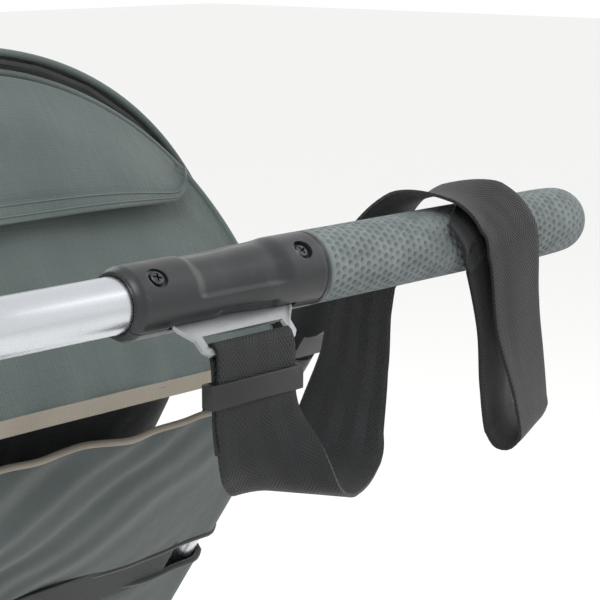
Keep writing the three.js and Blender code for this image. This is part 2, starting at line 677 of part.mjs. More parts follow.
/** Two shoulder straps with a yoke, lying on the pad. */
function harnessStraps() {
  const low = 120;
  const high = 330;
  const yoke = block([-60, 0, high - 38], [60, 2.4, high]);
  const straps = [-1, 1].map((sign) => block(
    [Math.min(sign * 40, sign * 65), 0, low], [Math.max(sign * 40, sign * 65), 2.4, high]));
  return carve(yoke, { add: straps });
}
const harness = place(upper, 'harness_straps', harnessStraps(), FINISH.webbing());
harness.position.y = PAD_REAR + BACK_PAD_THICKNESS + GAP;

// ---------------------------------------------------------------- hood

const hood = new THREE.Group(); // on the hood's axis, level with the floor's axes
hood.position.set(0, HOOD_MOUNT_OFFSET, HOOD_MOUNT_AT);
hood.rotation.x = -FRAME_LEAN;
upper.add(hood);

/** The hood's outline seen from ahead: half an ellipse, fuller at the shoulders. */
function archHeight(x, crown, halfWidth) {
  const share = Math.min(Math.abs(x) / halfWidth, 1);
  return crown * (1 - share ** 2.3) ** (1 / 2.3);
}

/** Points over the arch from left to right, down to a lowest height. */
function archPoints(crown, halfWidth, lowest, steps = 16) {
  const span = halfWidth * (1 - (lowest / crown) ** 2.3) ** (1 / 2.3);
  return Array.from({ length: steps + 1 }, (_, index) => {
    const x = -span * Math.cos(Math.PI * index / steps);
    return [x, archHeight(x, crown, halfWidth)];
  });
}

/** A strip of the hood between two angles about its axis, on the given layer, with or without eyes. */
function hoodStrip(layer, thickness, fromAngle, toAngle, steps, withEyes = true) {
  const inner = HOOD_HEIGHT + layer * HOOD_STEP;
  const insideHalf = HOOD_HALF_WIDTH + layer * HOOD_STEP;
  const lowest = withEyes ? HOOD_EYE_RADIUS - 2 : HOOD_EYE_RADIUS + 1;
  const outside = archPoints(inner + thickness, insideHalf + thickness, lowest);
  const inside = archPoints(inner, insideHalf, lowest).reverse();
  const shape = new THREE.Shape([...outside, ...inside].map(([x, height]) => new THREE.Vector2(x, height)));
  const points = [];
  const tangents = [];
  for (let step = 0; step <= steps; step += 1) {
    const angle = THREE.MathUtils.lerp(fromAngle, toAngle, step / steps);
    points.push(new THREE.Vector3(0, 0, 0));
    tangents.push(new THREE.Vector3(0, -Math.sin(angle), Math.cos(angle)));
  }
  const strip = sweep(shape, new StationPath(points, tangents, new THREE.Vector3(1, 0, 0)));
  if (!withEyes) return strip;
  const eyes = [-1, 1].map((sign) => pegX(
    HOOD_EYE_RADIUS, sign * (insideHalf - 1), sign * (insideHalf + 3.4), 20));
  const pivot = rodX(holeRadius(HOOD_POST_RADIUS, RUNNING_GAP, 14), -300, 300, 14);
  return carve(strip, { add: eyes, cut: [pivot] });
}

const MID_ANGLE = (HOOD_BOW_ANGLE + HOOD_FRONT_ANGLE) / 2;
const BOW_WIDTH = THREE.MathUtils.degToRad(3.2);
const OVERLAP = THREE.MathUtils.degToRad(2);
place(hood, 'hood_rear_bow', hoodStrip(0, 3, HOOD_BOW_ANGLE - BOW_WIDTH / 2, HOOD_BOW_ANGLE + BOW_WIDTH / 2, 1),
  FINISH.blackPlastic());
place(hood, 'hood_mid_panel',
  hoodStrip(1, HOOD_SHEET, MID_ANGLE, HOOD_BOW_ANGLE + OVERLAP, 4), FINISH.hoodCloth());
place(hood, 'hood_front_panel', hoodStrip(2, HOOD_SHEET, HOOD_FRONT_ANGLE + BOW_WIDTH, MID_ANGLE + OVERLAP, 4, false),
  FINISH.hoodCloth());
place(hood, 'hood_front_bow', hoodStrip(2, 3, HOOD_FRONT_ANGLE, HOOD_FRONT_ANGLE + BOW_WIDTH * 0.9, 1),
  FINISH.blackPlastic());

/** Rear curtain from the rear bow's crown down to a straight lower edge. */
function rearCurtain() {
  const crownY = (HOOD_HEIGHT - 6) * Math.cos(HOOD_BOW_ANGLE);
  const crownZ = (HOOD_HEIGHT - 6) * Math.sin(HOOD_BOW_ANGLE);
  const rise = Math.hypot(crownY + HOOD_EDGE_BACK, crownZ + HOOD_EDGE_DROP);
  const half = HOOD_HALF_WIDTH - 6;
  const arch = archPoints(rise, half, 8);
  const shape = [[-half, 0], ...arch, [half, 0]];
  return { rise, half, shape, lean: Math.atan2(crownY + HOOD_EDGE_BACK, crownZ + HOOD_EDGE_DROP) };
}
const curtainSize = rearCurtain();
const curtain = new THREE.Group(); // +Z up the curtain, -Y out of its back
curtain.position.set(0, -HOOD_EDGE_BACK, -HOOD_EDGE_DROP);
curtain.rotation.x = -curtainSize.lean;
hood.add(curtain);

/** A flat sheet in the curtain's plane. */
function curtainSheet(points, back, thickness) {
  const geometry = prismZ(points, 0, thickness);
  geometry.rotateX(Math.PI / 2);
  geometry.translate(0, -back, 0);
  return geometry;
}
place(curtain, 'hood_rear_panel',
  curtainSheet([...curtainSize.shape].reverse(), 0, HOOD_SHEET), FINISH.hoodCloth());

const flapLow = (FLAP_BOTTOM + HOOD_EDGE_DROP) / Math.cos(curtainSize.lean);
const flapArch = archPoints(curtainSize.rise - 4, curtainSize.half - 4, flapLow, 12)
  .filter(([x]) => Math.abs(x) <= FLAP_HALF_WIDTH);
const flapShape = [[-FLAP_HALF_WIDTH, flapLow], ...flapArch, [FLAP_HALF_WIDTH, flapLow]];
place(curtain, 'hood_flap', curtainSheet([...flapShape].reverse(), 5, HOOD_SHEET), FINISH.hoodCloth());

// ---------------------------------------------------------------- fold joints and lower frame

const CHEEK_HALF = FOLD_EAR_HALF + RUNNING_GAP + 10;
const TONGUE_ROOM_HALF = FOLD_EAR_HALF + RUNNING_GAP;
const SOCKET_START = 34; // where a tube begins inside the fold joint's socket
const frontAxleHeight = FRONT_WHEEL_RADIUS * Math.cos(Math.PI / WHEEL_SIDES);
const rearAxleHeight = REAR_WHEEL_RADIUS * Math.cos(Math.PI / WHEEL_SIDES);
const frontAxle = { y: FRONT_AXLE_AHEAD, z: frontAxleHeight - FOLD_HEIGHT };
const rearAxle = { y: -REAR_AXLE_BACK, z: rearAxleHeight - FOLD_HEIGHT };
const legDirection = new THREE.Vector3(0, rearAxle.y, rearAxle.z).normalize();

/** Direction of a fork tube's first run, from the fold axis. */
function forkDirection(sign) {
  return new THREE.Vector3(sign * (FORK_KNEE.x - FRAME_HALF_WIDTH), FORK_KNEE.y, FORK_KNEE.z).normalize();
}

/** A rod on a line from the fold axis, between two distances. */
function rodFromFold(x, direction, radius, from, to, sides = 20) {
  const geometry = new THREE.CylinderGeometry(radius, radius, to - from, sides);
  geometry.translate(0, (from + to) / 2, 0);
  geometry.applyQuaternion(new THREE.Quaternion().setFromUnitVectors(new THREE.Vector3(0, 1, 0), direction));
  geometry.translate(x, 0, 0);
  return geometry;
}

/** Cast joint body: two cheeks round the tongue, and sockets for the fork tube and the leg. */
function foldJoint(x, sign) {
  const body = pegX(29, x - CHEEK_HALF, x + CHEEK_HALF, 20);
  const socketHole = holeRadius(TUBE_RADIUS, GAP, 12);
  const sockets = [forkDirection(sign), legDirection].map((way) => rodFromFold(x, way, 17, 20, 74, 14));
  const holes = [forkDirection(sign), legDirection].map(
    (way) => rodFromFold(x, way, socketHole, SOCKET_START, 100, 12));
  const tongueRoom = pegX(EAR_RADIUS + 1, x - TONGUE_ROOM_HALF, x + TONGUE_ROOM_HALF, 20);
  const swingRoom = prismX([[-32, -12], [60, -12], [60, 60], [-60, 60], [-60, 16]],
    x - TONGUE_ROOM_HALF, x + TONGUE_ROOM_HALF);
  const pin = pegX(PIN_RADIUS, x - CHEEK_HALF + 1, x + CHEEK_HALF - 1, 16);
  const open = carve(body, { add: sockets, cut: [tongueRoom, swingRoom, ...holes] });
  return carve(open, { add: [pin] });
}

/** Lock lever on the outside of a fold joint. */
function foldLock(x, sign) {
  const near = x + sign * (CHEEK_HALF + RUNNING_GAP);
  const far = near + sign * 6;
  const disc = pegX(13, near, far, 24);
  const [low, high] = ordered(near, far);
  const arm = block([low, -7, -44], [high, 7, 0]);
  const pad = pegX(9, near, far + sign * 3, 20);
  pad.translate(0, 0, -44);
  return carve(disc, { add: [arm, pad] });
}

/** Path of one fork tube, from inside its socket to the front axle. */
function forkPath(sign) {
  const start = forkDirection(sign).multiplyScalar(SOCKET_START + GAP);
  start.x += sign * FRAME_HALF_WIDTH;
  return bentPath([
    start.toArray(),
    [sign * FORK_KNEE.x, FORK_KNEE.y, FORK_KNEE.z],
    [sign * FORK_HALF_WIDTH, frontAxle.y, frontAxle.z],
  ], 90, 3);
}

const DROPOUT_HALF = 3;
const DROPOUT_RADIUS = 17;

/** Fork tube with a flat dropout that the skewer passes through. */
function forkTube(sign) {
  const path = forkPath(sign);
  const x = sign * FORK_HALF_WIDTH;
  const way = path.tangents.at(-1);
  const plug = new THREE.CylinderGeometry(TUBE_RADIUS, TUBE_RADIUS, 16, 16);
  plug.applyQuaternion(new THREE.Quaternion().setFromUnitVectors(new THREE.Vector3(0, 1, 0), way));
  plug.translate(x - way.x * 34, frontAxle.y - way.y * 34, frontAxle.z - way.z * 34);
  const plate = pegX(DROPOUT_RADIUS, x - DROPOUT_HALF, x + DROPOUT_HALF, 24);
  const web = block([x - DROPOUT_HALF, -11, 0], [x + DROPOUT_HALF, 11, 36]);
  web.rotateX(Math.atan2(way.y, -way.z));
  const hole = pegX(holeRadius(AXLE_RADIUS, GAP, 16), x - 20, x + 20, 16);
  for (const piece of [plate, web, hole]) piece.translate(0, frontAxle.y, frontAxle.z);
  const beyond = pegX(30, x - 40, x + 40, 24);
  beyond.translate(0, frontAxle.y, frontAxle.z);
  const shortened = carve(tube(path, TUBE_RADIUS, TUBE_RADIUS - TUBE_WALL), { cut: [beyond] });
  return carve(shortened, { add: [plug, plate, web], cut: [hole] });
}

/** Straight tube between two points with its ends shaped to fit round other tubes. */
function copedTube(from, to, radius, against) {
  const path = bentPath([from, to], 0);
  return carve(tube(path, radius, radius - TUBE_WALL), { cut: against });
}

/** The outside of a tube plus its gap, for shaping what meets it. */
function outside(path, radius) {
  return bar(path, radius + GAP, 16);
}

const AXLE_TUBE_RADIUS = 14;
const rearAxleRoom = rodX(AXLE_TUBE_RADIUS + GAP, -300, 300, 24);
rearAxleRoom.translate(0, rearAxle.y, rearAxle.z);

/** Rear leg from the fold joint's socket to the rear axle tube. */
function rearLeg(sign) {
  const x = sign * FRAME_HALF_WIDTH;
  const start = legDirection.clone().multiplyScalar(SOCKET_START + GAP);
  return copedTube([x, start.y, start.z], [x, rearAxle.y, rearAxle.z], TUBE_RADIUS, [rearAxleRoom]);
}

const STAY_REAR_X = 205;
const STAY_MEETS_FORK = 0.62; // of the fork tube's first run

/** Stay from the rear axle tube forward to the fork tube. */
function sideStay(sign) {
  const meet = [FORK_KNEE.x - FRAME_HALF_WIDTH, FORK_KNEE.y, FORK_KNEE.z]
    .map((value) => value * STAY_MEETS_FORK);
  const front = [sign * (FRAME_HALF_WIDTH + meet[0]), meet[1], meet[2]];
  const rear = [sign * STAY_REAR_X, rearAxle.y, rearAxle.z];
  return copedTube(rear, front, STAY_RADIUS, [rearAxleRoom, outside(forkPath(sign), TUBE_RADIUS)]);
}

bothSides((sign, name) => {
  const x = sign * FRAME_HALF_WIDTH;
  place(side, `fold_joint_${name}`, foldJoint(x, sign), FINISH.blackPlastic());
  place(side, `fold_lock_${name}`, foldLock(x, sign), FINISH.redPlastic());
  place(side, `fork_tube_${name}`, forkTube(sign), FINISH.aluminium());
  place(side, `rear_leg_${name}`, rearLeg(sign), FINISH.aluminium());
  place(side, `side_stay_${name}`, sideStay(sign), FINISH.aluminium());
});

const BRACE_AT = 0.9; // of the fork tube's first run
const BRACE_RADIUS = 10;
const brace = { y: FORK_KNEE.y * BRACE_AT, z: FORK_KNEE.z * BRACE_AT };
const braceHalf = FRAME_HALF_WIDTH + (FORK_KNEE.x - FRAME_HALF_WIDTH) * BRACE_AT;
place(side, 'front_brace', copedTube([-braceHalf, brace.y, brace.z], [braceHalf, brace.y, brace.z], BRACE_RADIUS,
  [-1, 1].map((sign) => outside(forkPath(sign), TUBE_RADIUS))), FINISH.aluminium());

const FOOTREST_HALF_WIDTH = 92;
const FOOTREST_HALF_DEPTH = 62;
const FOOTREST_THICKNESS = 7;

/** Ribbed tread plate lying on the front brace. */
function footrest() {
  const plate = prismZ(roundedRectangle(FOOTREST_HALF_WIDTH, FOOTREST_HALF_DEPTH, 22, 4), 0, FOOTREST_THICKNESS);
  const ribs = Array.from({ length: 5 }, (_, index) => {
    const y = (index - 2) * 22;
    return block([-FOOTREST_HALF_WIDTH + 18, y - 3, FOOTREST_THICKNESS - 1],
      [FOOTREST_HALF_WIDTH - 18, y + 3, FOOTREST_THICKNESS + 2.5]);
  });
  return carve(plate, { add: ribs });
}
const tread = place(side, 'footrest', footrest(), FINISH.charcoalPlastic());
tread.position.set(0, brace.y - 8, brace.z + BRACE_RADIUS + GAP);

/** Rear axle: a thick cross tube with a stub for each wheel. */
function rearAxleBody() {
  const reach = REAR_WHEEL_HALF_TRACK + HUB_LENGTH / 2 - 4;
  const body = rodX(AXLE_TUBE_RADIUS, -FRAME_HALF_WIDTH - 14, FRAME_HALF_WIDTH + 14, 24);
  const stub = rodX(AXLE_RADIUS, -reach, reach, 16);
  const axle = carve(body, { add: [stub] });
  axle.translate(0, rearAxle.y, rearAxle.z);
  return axle;
}
place(side, 'rear_axle', rearAxleBody(), FINISH.aluminium());

/** Foot pedal of the parking brake, turning on the rear axle tube. */
function brakePedal() {
  const ring = rodX(20, 60, 120, 28);
  const arm = block([66, -62, -3], [114, -16, 4]);
  const pad = block([52, -86, -4], [128, -56, 6]);
  const room = rodX(holeRadius(AXLE_TUBE_RADIUS, RUNNING_GAP, 24), 40, 140, 24);
  const pedal = carve(ring, { add: [arm, pad], cut: [room] });
  pedal.rotateX(THREE.MathUtils.degToRad(-30));
  pedal.translate(0, rearAxle.y, rearAxle.z);
  return pedal;
}
place(side, 'brake_pedal', brakePedal(), FINISH.redPlastic());

// ---------------------------------------------------------------- seat

const seat = new THREE.Group(); // +Y up the seat's slope, from the rail's rear corner
const railStart = { y: legDirection.y / legDirection.z * -RAIL_DROP, z: -RAIL_DROP };
seat.position.set(0, railStart.y, railStart.z);
seat.rotation.x = SEAT_SLOPE;
side.add(seat);

/** One bent tube: out of a leg, along the seat, across its front and back to the other leg. */
function seatRail() {
  const path = bentPath([
    [-FRAME_HALF_WIDTH, 0, 0], [-RAIL_HALF_WIDTH, 0, 0], [-RAIL_HALF_WIDTH, RAIL_LENGTH, 0],
    [RAIL_HALF_WIDTH, RAIL_LENGTH, 0], [RAIL_HALF_WIDTH, 0, 0], [FRAME_HALF_WIDTH, 0, 0],
  ], 34, 3);
  path.across.set(0, 0, 1);
  const legs = [-1, 1].map((sign) => {
    const leg = rodFromFold(sign * FRAME_HALF_WIDTH, legDirection, TUBE_RADIUS + GAP, 34, 400, 16);
    leg.translate(0, -railStart.y, -railStart.z);
    leg.rotateX(-SEAT_SLOPE);
    return leg;
  });
  return carve(tube(path, RAIL_RADIUS, RAIL_RADIUS - TUBE_WALL, 8), { cut: legs });
}
place(seat, 'seat_rail', seatRail(), FINISH.aluminium());

const cushionFrom = 64; // along the rail
const cushionTo = RAIL_LENGTH - 4;
const cushionLow = RAIL_RADIUS + 2;
const cushion = prismZ(roundedRectangle(CUSHION_HALF_WIDTH, (cushionTo - cushionFrom) / 2, 36, 4),
  cushionLow, cushionLow + CUSHION_THICKNESS);
cushion.translate(0, (cushionTo + cushionFrom) / 2, 0);
place(seat, 'seat_cushion', cushion, FINISH.darkCloth());

const BUCKLE_AT = 170; // along the rail
const BUCKLE_HEIGHT = 13;
const BUCKLE_BUTTON_RADIUS = 10;
const BUCKLE_TRAVEL = 3;

/** Body of the harness buckle, with a round pocket for its button. */
function harnessBuckle() {
  const body = prismZ(roundedRectangle(29, 25, 10, 4), 0, BUCKLE_HEIGHT);
  const pocket = new THREE.CylinderGeometry(BUCKLE_BUTTON_RADIUS + RUNNING_GAP, BUCKLE_BUTTON_RADIUS + RUNNING_GAP, 20, 24);
  pocket.rotateX(Math.PI / 2);
  pocket.translate(0, 0, BUCKLE_HEIGHT - 7 + 10);
  return carve(body, { cut: [pocket] });
}
const buckle = place(seat, 'harness_buckle', harnessBuckle(), FINISH.blackPlastic());
buckle.position.set(0, BUCKLE_AT, cushionLow + CUSHION_THICKNESS + GAP);

const button = new THREE.CylinderGeometry(BUCKLE_BUTTON_RADIUS - 1, BUCKLE_BUTTON_RADIUS, 6, 24);
button.rotateX(Math.PI / 2);
const buttonLow = BUCKLE_HEIGHT - 7 + BUCKLE_TRAVEL + GAP;
button.translate(0, BUCKLE_AT, cushionLow + CUSHION_THICKNESS + GAP + buttonLow + 3);
place(seat, 'buckle_button', button, FINISH.redPlastic());

const crotchStrap = block([-12.5, BUCKLE_AT + 25 + GAP, 0], [12.5, BUCKLE_AT + 75, 2.4]);
crotchStrap.translate(0, 0, cushionLow + CUSHION_THICKNESS + GAP);
place(seat, 'crotch_strap', crotchStrap, FINISH.webbing());

// ---------------------------------------------------------------- basket

const BASKET = { rear: -165, front: 165, rearHalf: 180, frontHalf: 134, low: -316, high: -196, wall: 4 };

/** Open-topped cargo basket, narrower towards the front. */
function basket() {
  const outline = (inset) => [
    [-BASKET.rearHalf + inset, BASKET.rear + inset], [BASKET.rearHalf - inset, BASKET.rear + inset],
    [BASKET.frontHalf - inset, BASKET.front - inset], [-BASKET.frontHalf + inset, BASKET.front - inset]];
  const outer = prismZ(outline(0), BASKET.low, BASKET.high);
  return carve(outer, { cut: [prismZ(outline(BASKET.wall), BASKET.low + BASKET.wall, BASKET.high + 20)] });
}
place(side, 'basket', basket(), FINISH.darkCloth());

// ---------------------------------------------------------------- wheels

/** Round tyre on a rim of the given outer radius. */
function tyre(radius, width, rimRadius) {
  const half = width / 2;
  const depth = radius - rimRadius;
  const outline = [];
  const steps = 6;
  for (let step = 0; step <= steps; step += 1) {
    const angle = Math.PI * step / steps;
    outline.push([-half * Math.cos(angle), rimRadius + 6 + (depth - 6) * Math.sin(angle) ** 0.7]);
  }
  outline[0][1] = rimRadius + 8;
  outline[steps][1] = rimRadius + 8;
  outline.push([half * 0.55, rimRadius + GAP], [-half * 0.55, rimRadius + GAP]);
  return turnedX(outline, WHEEL_SIDES);
}

/** Alloy rim, wire spokes and hub as one running wheel. */
function spokedWheel(rimRadius, width, hubHalf, spokes) {
  const half = width * 0.34;
  const rim = turnedX([[-half * 0.5, rimRadius - 15], [-half, rimRadius - 9], [-half, rimRadius],
    [half, rimRadius], [half, rimRadius - 9], [half * 0.5, rimRadius - 15]], WHEEL_SIDES);
  const bore = holeRadius(AXLE_RADIUS, RUNNING_GAP, 16);
  const hub = turnedX([[-hubHalf, bore], [-hubHalf, 13], [-hubHalf + 9, 22], [-hubHalf + 15, 22],
    [-hubHalf + 17, 13], [hubHalf - 17, 13], [hubHalf - 15, 22], [hubHalf - 9, 22],
    [hubHalf, 13], [hubHalf, bore]], 12);
  const add = [hub];
  for (let index = 0; index < spokes; index += 1) {
    const sideX = index % 2 ? 1 : -1;
    const angle = index / spokes * Math.PI * 2;
    const from = new THREE.Vector3(sideX * (hubHalf - 12), 18 * Math.cos(angle + 0.7), 18 * Math.sin(angle + 0.7));
    const to = new THREE.Vector3(0, (rimRadius - 12) * Math.cos(angle), (rimRadius - 12) * Math.sin(angle));
    add.push(bar(bentPath([from.toArray(), to.toArray()], 0), 1.5, 4));
  }
  return carve(rim, { add });
}

/** Turns a wheel so that it stands on a facet. */
function standOnFacet(geometry) {
  geometry.rotateX(Math.PI / WHEEL_SIDES);
  return geometry;
}

const FRONT_RIM_RADIUS = FRONT_WHEEL_RADIUS - 38;
const REAR_RIM_RADIUS = REAR_WHEEL_RADIUS - 36;
const frontHubHalf = FORK_HALF_WIDTH - DROPOUT_HALF - RUNNING_GAP;
const frontWheel = new THREE.Group();
frontWheel.position.set(0, frontAxle.y, frontAxle.z);
side.add(frontWheel);
place(frontWheel, 'front_tyre', standOnFacet(tyre(FRONT_WHEEL_RADIUS, FRONT_TYRE_WIDTH, FRONT_RIM_RADIUS)),
  FINISH.tyreRubber());
place(frontWheel, 'front_wheel', standOnFacet(spokedWheel(FRONT_RIM_RADIUS, FRONT_TYRE_WIDTH, frontHubHalf, 10)),
  FINISH.alloyRim());

/** Through axle with a nut on its right end and a fork for the lever on its left. */
function frontSkewer() {
  const reach = FORK_HALF_WIDTH + DROPOUT_HALF + GAP;
  const rod = rodX(AXLE_RADIUS - 1.5, -reach - 6, reach + 6, 16);
  const nut = rodX(11, reach, reach + 10, 6);
  const seatWasher = rodX(10, -reach - 6, -reach, 20);
  return carve(rod, { add: [nut, seatWasher] });
}
place(frontWheel, 'front_skewer', frontSkewer(), FINISH.steel());

const LEVER_X = -(FORK_HALF_WIDTH + DROPOUT_HALF + GAP + 6 + RUNNING_GAP + 8);

/** Cam lever of the quick release; it swings out from the fork. */
function releaseLever() {
  const cam = new THREE.CylinderGeometry(8, 8, 16, 20);
  const arm = block([-3, -6, 0], [2, 6, 62]);
  return carve(cam, { add: [arm] });
}
const lever = place(frontWheel, 'quick_release_lever', releaseLever(), FINISH.steel());
lever.position.x = LEVER_X;

bothSides((sign, name) => {
  const wheel = new THREE.Group();
  wheel.position.set(sign * REAR_WHEEL_HALF_TRACK, rearAxle.y, rearAxle.z);
  side.add(wheel);
  place(wheel, `rear_tyre_${name}`, standOnFacet(tyre(REAR_WHEEL_RADIUS, REAR_TYRE_WIDTH, REAR_RIM_RADIUS)),
    FINISH.tyreRubber());
  const hubHalf = REAR_WHEEL_HALF_TRACK - FRAME_HALF_WIDTH - 14 - RUNNING_GAP;
  place(wheel, `rear_wheel_${name}`, standOnFacet(spokedWheel(REAR_RIM_RADIUS, REAR_TYRE_WIDTH, hubHalf, 12)),
    FINISH.alloyRim());
});

// ---------------------------------------------------------------- origin

const overall = new THREE.Box3().setFromObject(stroller, true);
stroller.position.y = -(overall.min.y + overall.max.y) / 2;

export default stroller;
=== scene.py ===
"""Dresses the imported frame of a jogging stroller: push bar, strap coupling, hood, seat and wheels.

Everything is in metres in the frame's own axes: +Z up, +Y the way the stroller travels, +X to
the right of the person pushing. Sizes repeated from the part's source are noted as such.
"""

import logging
import math
from collections.abc import Callable, Iterator, Sequence
from contextlib import contextmanager
from dataclasses import dataclass, field
from enum import Enum

import bmesh
import bpy
from mathutils import Matrix, Vector, noise


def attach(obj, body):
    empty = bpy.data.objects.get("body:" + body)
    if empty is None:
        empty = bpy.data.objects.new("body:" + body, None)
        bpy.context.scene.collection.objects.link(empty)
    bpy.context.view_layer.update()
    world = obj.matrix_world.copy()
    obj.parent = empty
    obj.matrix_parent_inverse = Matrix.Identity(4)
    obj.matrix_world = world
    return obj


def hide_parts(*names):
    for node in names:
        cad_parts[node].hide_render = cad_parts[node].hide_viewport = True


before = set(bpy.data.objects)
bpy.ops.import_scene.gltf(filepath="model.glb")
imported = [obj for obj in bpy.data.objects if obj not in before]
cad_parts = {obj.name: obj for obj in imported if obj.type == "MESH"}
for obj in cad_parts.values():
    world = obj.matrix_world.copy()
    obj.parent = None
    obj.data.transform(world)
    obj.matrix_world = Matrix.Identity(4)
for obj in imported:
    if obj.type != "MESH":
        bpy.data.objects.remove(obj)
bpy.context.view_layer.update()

logging.basicConfig(level=logging.INFO, format="%(name)s: %(message)s")
LOG = logging.getLogger("stroller")

MM = 0.001
Place = Callable[[float, float], Vector]
Point = tuple[float, float, float]

# ---------------------------------------------------------------- sizes repeated from the part's source

FOLD_AXIS = Vector((0.0, -0.0612, 0.505))
FRAME_LEAN = math.radians(34.3)
UP_TUBE = Vector((0.0, -math.sin(FRAME_LEAN), math.cos(FRAME_LEAN)))  # along the side tubes
TO_CHILD = Vector((0.0, math.cos(FRAME_LEAN), math.sin(FRAME_LEAN)))  # out of the seat back
FRAME_HALF = 0.238
TUBE_RADIUS = 0.0125
TUBE_WALL = 0.0018
BAR_SLOPE = math.radians(18.9)
BAR_REACH = 0.216
HANDLE_AXIS = FOLD_AXIS + 0.514 * UP_TUBE
ALONG_ARM = Vector((0.0, math.cos(BAR_SLOPE), -math.sin(BAR_SLOPE)))
OVER_ARM = Vector((0.0, math.sin(BAR_SLOPE), math.cos(BAR_SLOPE)))
BAR_CENTRE = HANDLE_AXIS - BAR_REACH * ALONG_ARM
HOOD_AXIS = FOLD_AXIS + 0.452 * UP_TUBE + 0.024 * TO_CHILD
REAR_AXLE = Vector((0.0, -0.2562, 0.19905))
FRONT_AXLE = Vector((0.0, 0.4288, 0.15725))
GRIP_RADIUS = 0.0175


def upper_point(x: float, along: float, out: float = 0.0) -> Vector:
    """A point on the upper frame: x, distance up the side tubes, distance towards the child."""
    return FOLD_AXIS + along * UP_TUBE + out * TO_CHILD + Vector((x, 0.0, 0.0))


def arm_point(x: float, along: float, over: float = 0.0) -> Vector:
    """A point in the plane of the push bar's arms, from the handle's axis."""
    return HANDLE_AXIS + along * ALONG_ARM + over * OVER_ARM + Vector((x, 0.0, 0.0))


# ---------------------------------------------------------------- bench: small modelling tools


def deselect() -> None:
    """Leaves nothing selected."""
    bpy.ops.object.select_all(action="DESELECT")


def activate(piece: bpy.types.Object) -> bpy.types.Object:
    """Selects one piece alone and makes it active."""
    deselect()
    piece.select_set(True)
    bpy.context.view_layer.objects.active = piece
    return piece


@contextmanager
def editing(piece: bpy.types.Object) -> Iterator[bmesh.types.BMesh]:
    """Edit mode on one piece with nothing selected.

    Args:
        piece: The mesh object to edit.

    Returns:
        Its edit-mode mesh, for choosing vertices and faces by their place.
    """
    activate(piece)
    bpy.ops.object.mode_set(mode="EDIT")
    bpy.ops.mesh.select_mode(type="VERT")
    bpy.ops.mesh.select_all(action="DESELECT")
    yield bmesh.from_edit_mesh(piece.data)
    bpy.ops.object.mode_set(mode="OBJECT")


def named(piece: bpy.types.Object, name: str) -> bpy.types.Object:
    """Names a piece and its mesh."""
    piece.name = name
    piece.data.name = name
    return piece


def settle(piece: bpy.types.Object) -> bpy.types.Object:
    """Puts the object at the origin, with its place in its mesh."""
    activate(piece)
    bpy.ops.object.transform_apply(location=True, rotation=True, scale=True)
    return piece


def finish_with(piece: bpy.types.Object, kind: str, **settings: object) -> bpy.types.Object:
    """Adds one modifier and applies it.

    Args:
        piece: The piece to change.
        kind: Blender's name for the modifier type.
        settings: Its settings by name.

    Returns:
        The piece.
    """
    activate(piece)
    modifier = piece.modifiers.new(kind.title(), kind)
    for key, value in settings.items():
        setattr(modifier, key, value)
    bpy.ops.object.modifier_apply(modifier=modifier.name)
    return piece


def thicken(piece: bpy.types.Object, thickness: float, offset: float = 0.0) -> bpy.types.Object:
    """Gives a sheet its thickness, about its middle unless offset says otherwise."""
    return finish_with(piece, "SOLIDIFY", thickness=thickness, offset=offset, use_even_offset=False)


def round_edges(piece: bpy.types.Object, width: float, segments: int = 2,
                angle: float = 32.0) -> bpy.types.Object:
    """Rounds each edge sharper than angle, in degrees."""
    return finish_with(piece, "BEVEL", width=width, segments=segments, limit_method="ANGLE",
                       angle_limit=math.radians(angle), use_clamp_overlap=True)


def smoothed(piece: bpy.types.Object, angle: float = 40.0) -> bpy.types.Object:
    """Shades the piece smooth, but not over edges sharper than angle, in degrees."""
    activate(piece)
    bpy.ops.object.shade_smooth_by_angle(angle=math.radians(angle))
    return piece


def mend(piece: bpy.types.Object, distance: float = 1e-6) -> bpy.types.Object:
    """Merges doubled vertices and turns all faces outwards."""
    with editing(piece):
        bpy.ops.mesh.select_all(action="SELECT")
        bpy.ops.mesh.remove_doubles(threshold=distance)
        bpy.ops.mesh.normals_make_consistent(inside=False)
    return piece


def cloth_grid(name: str, columns: int, rows: int, place: Place,
               flat: tuple[float, float]) -> bpy.types.Object:
    """A grid whose vertices are laid on a surface, with a UV map in metres of flat cloth.

    Args:
        name: The new piece's name.
        columns: Faces across.
        rows: Faces along.
        place: Gives a point from two shares of the sheet, across and along.
        flat: The sheet's width and length, which scale the UV map.

    Returns:
        The new piece, an open sheet.
    """
    deselect()
    bpy.ops.mesh.primitive_grid_add(x_subdivisions=columns, y_subdivisions=rows, size=1.0)
    piece = named(bpy.context.active_object, name)
    for vertex in piece.data.vertices:
        vertex.co = place(vertex.co.x + 0.5, vertex.co.y + 0.5)
    for corner in piece.data.uv_layers.active.data:
        corner.uv = (corner.uv.x * flat[0], corner.uv.y * flat[1])
    return piece


def spun(name: str, outline: Sequence[tuple[float, float]], centre: Vector, steps: int) -> bpy.types.Object:
    """Spins a closed outline about a line along X.

    Args:
        name: The new piece's name.
        outline: Pairs of place along X and distance from the line.
        centre: A point on the line.
        steps: Faces round the line.

    Returns:
        The new closed piece.
    """
    deselect()
    bpy.ops.mesh.primitive_circle_add(vertices=len(outline), radius=1.0)
    piece = named(bpy.context.active_object, name)
    for vertex, (x, radius) in zip(piece.data.vertices, outline):
        vertex.co = centre + Vector((x, 0.0, radius))
    with editing(piece):
        bpy.ops.mesh.select_all(action="SELECT")
        bpy.ops.mesh.spin(steps=steps, angle=2 * math.pi, center=centre, axis=(1.0, 0.0, 0.0))
    return mend(piece)


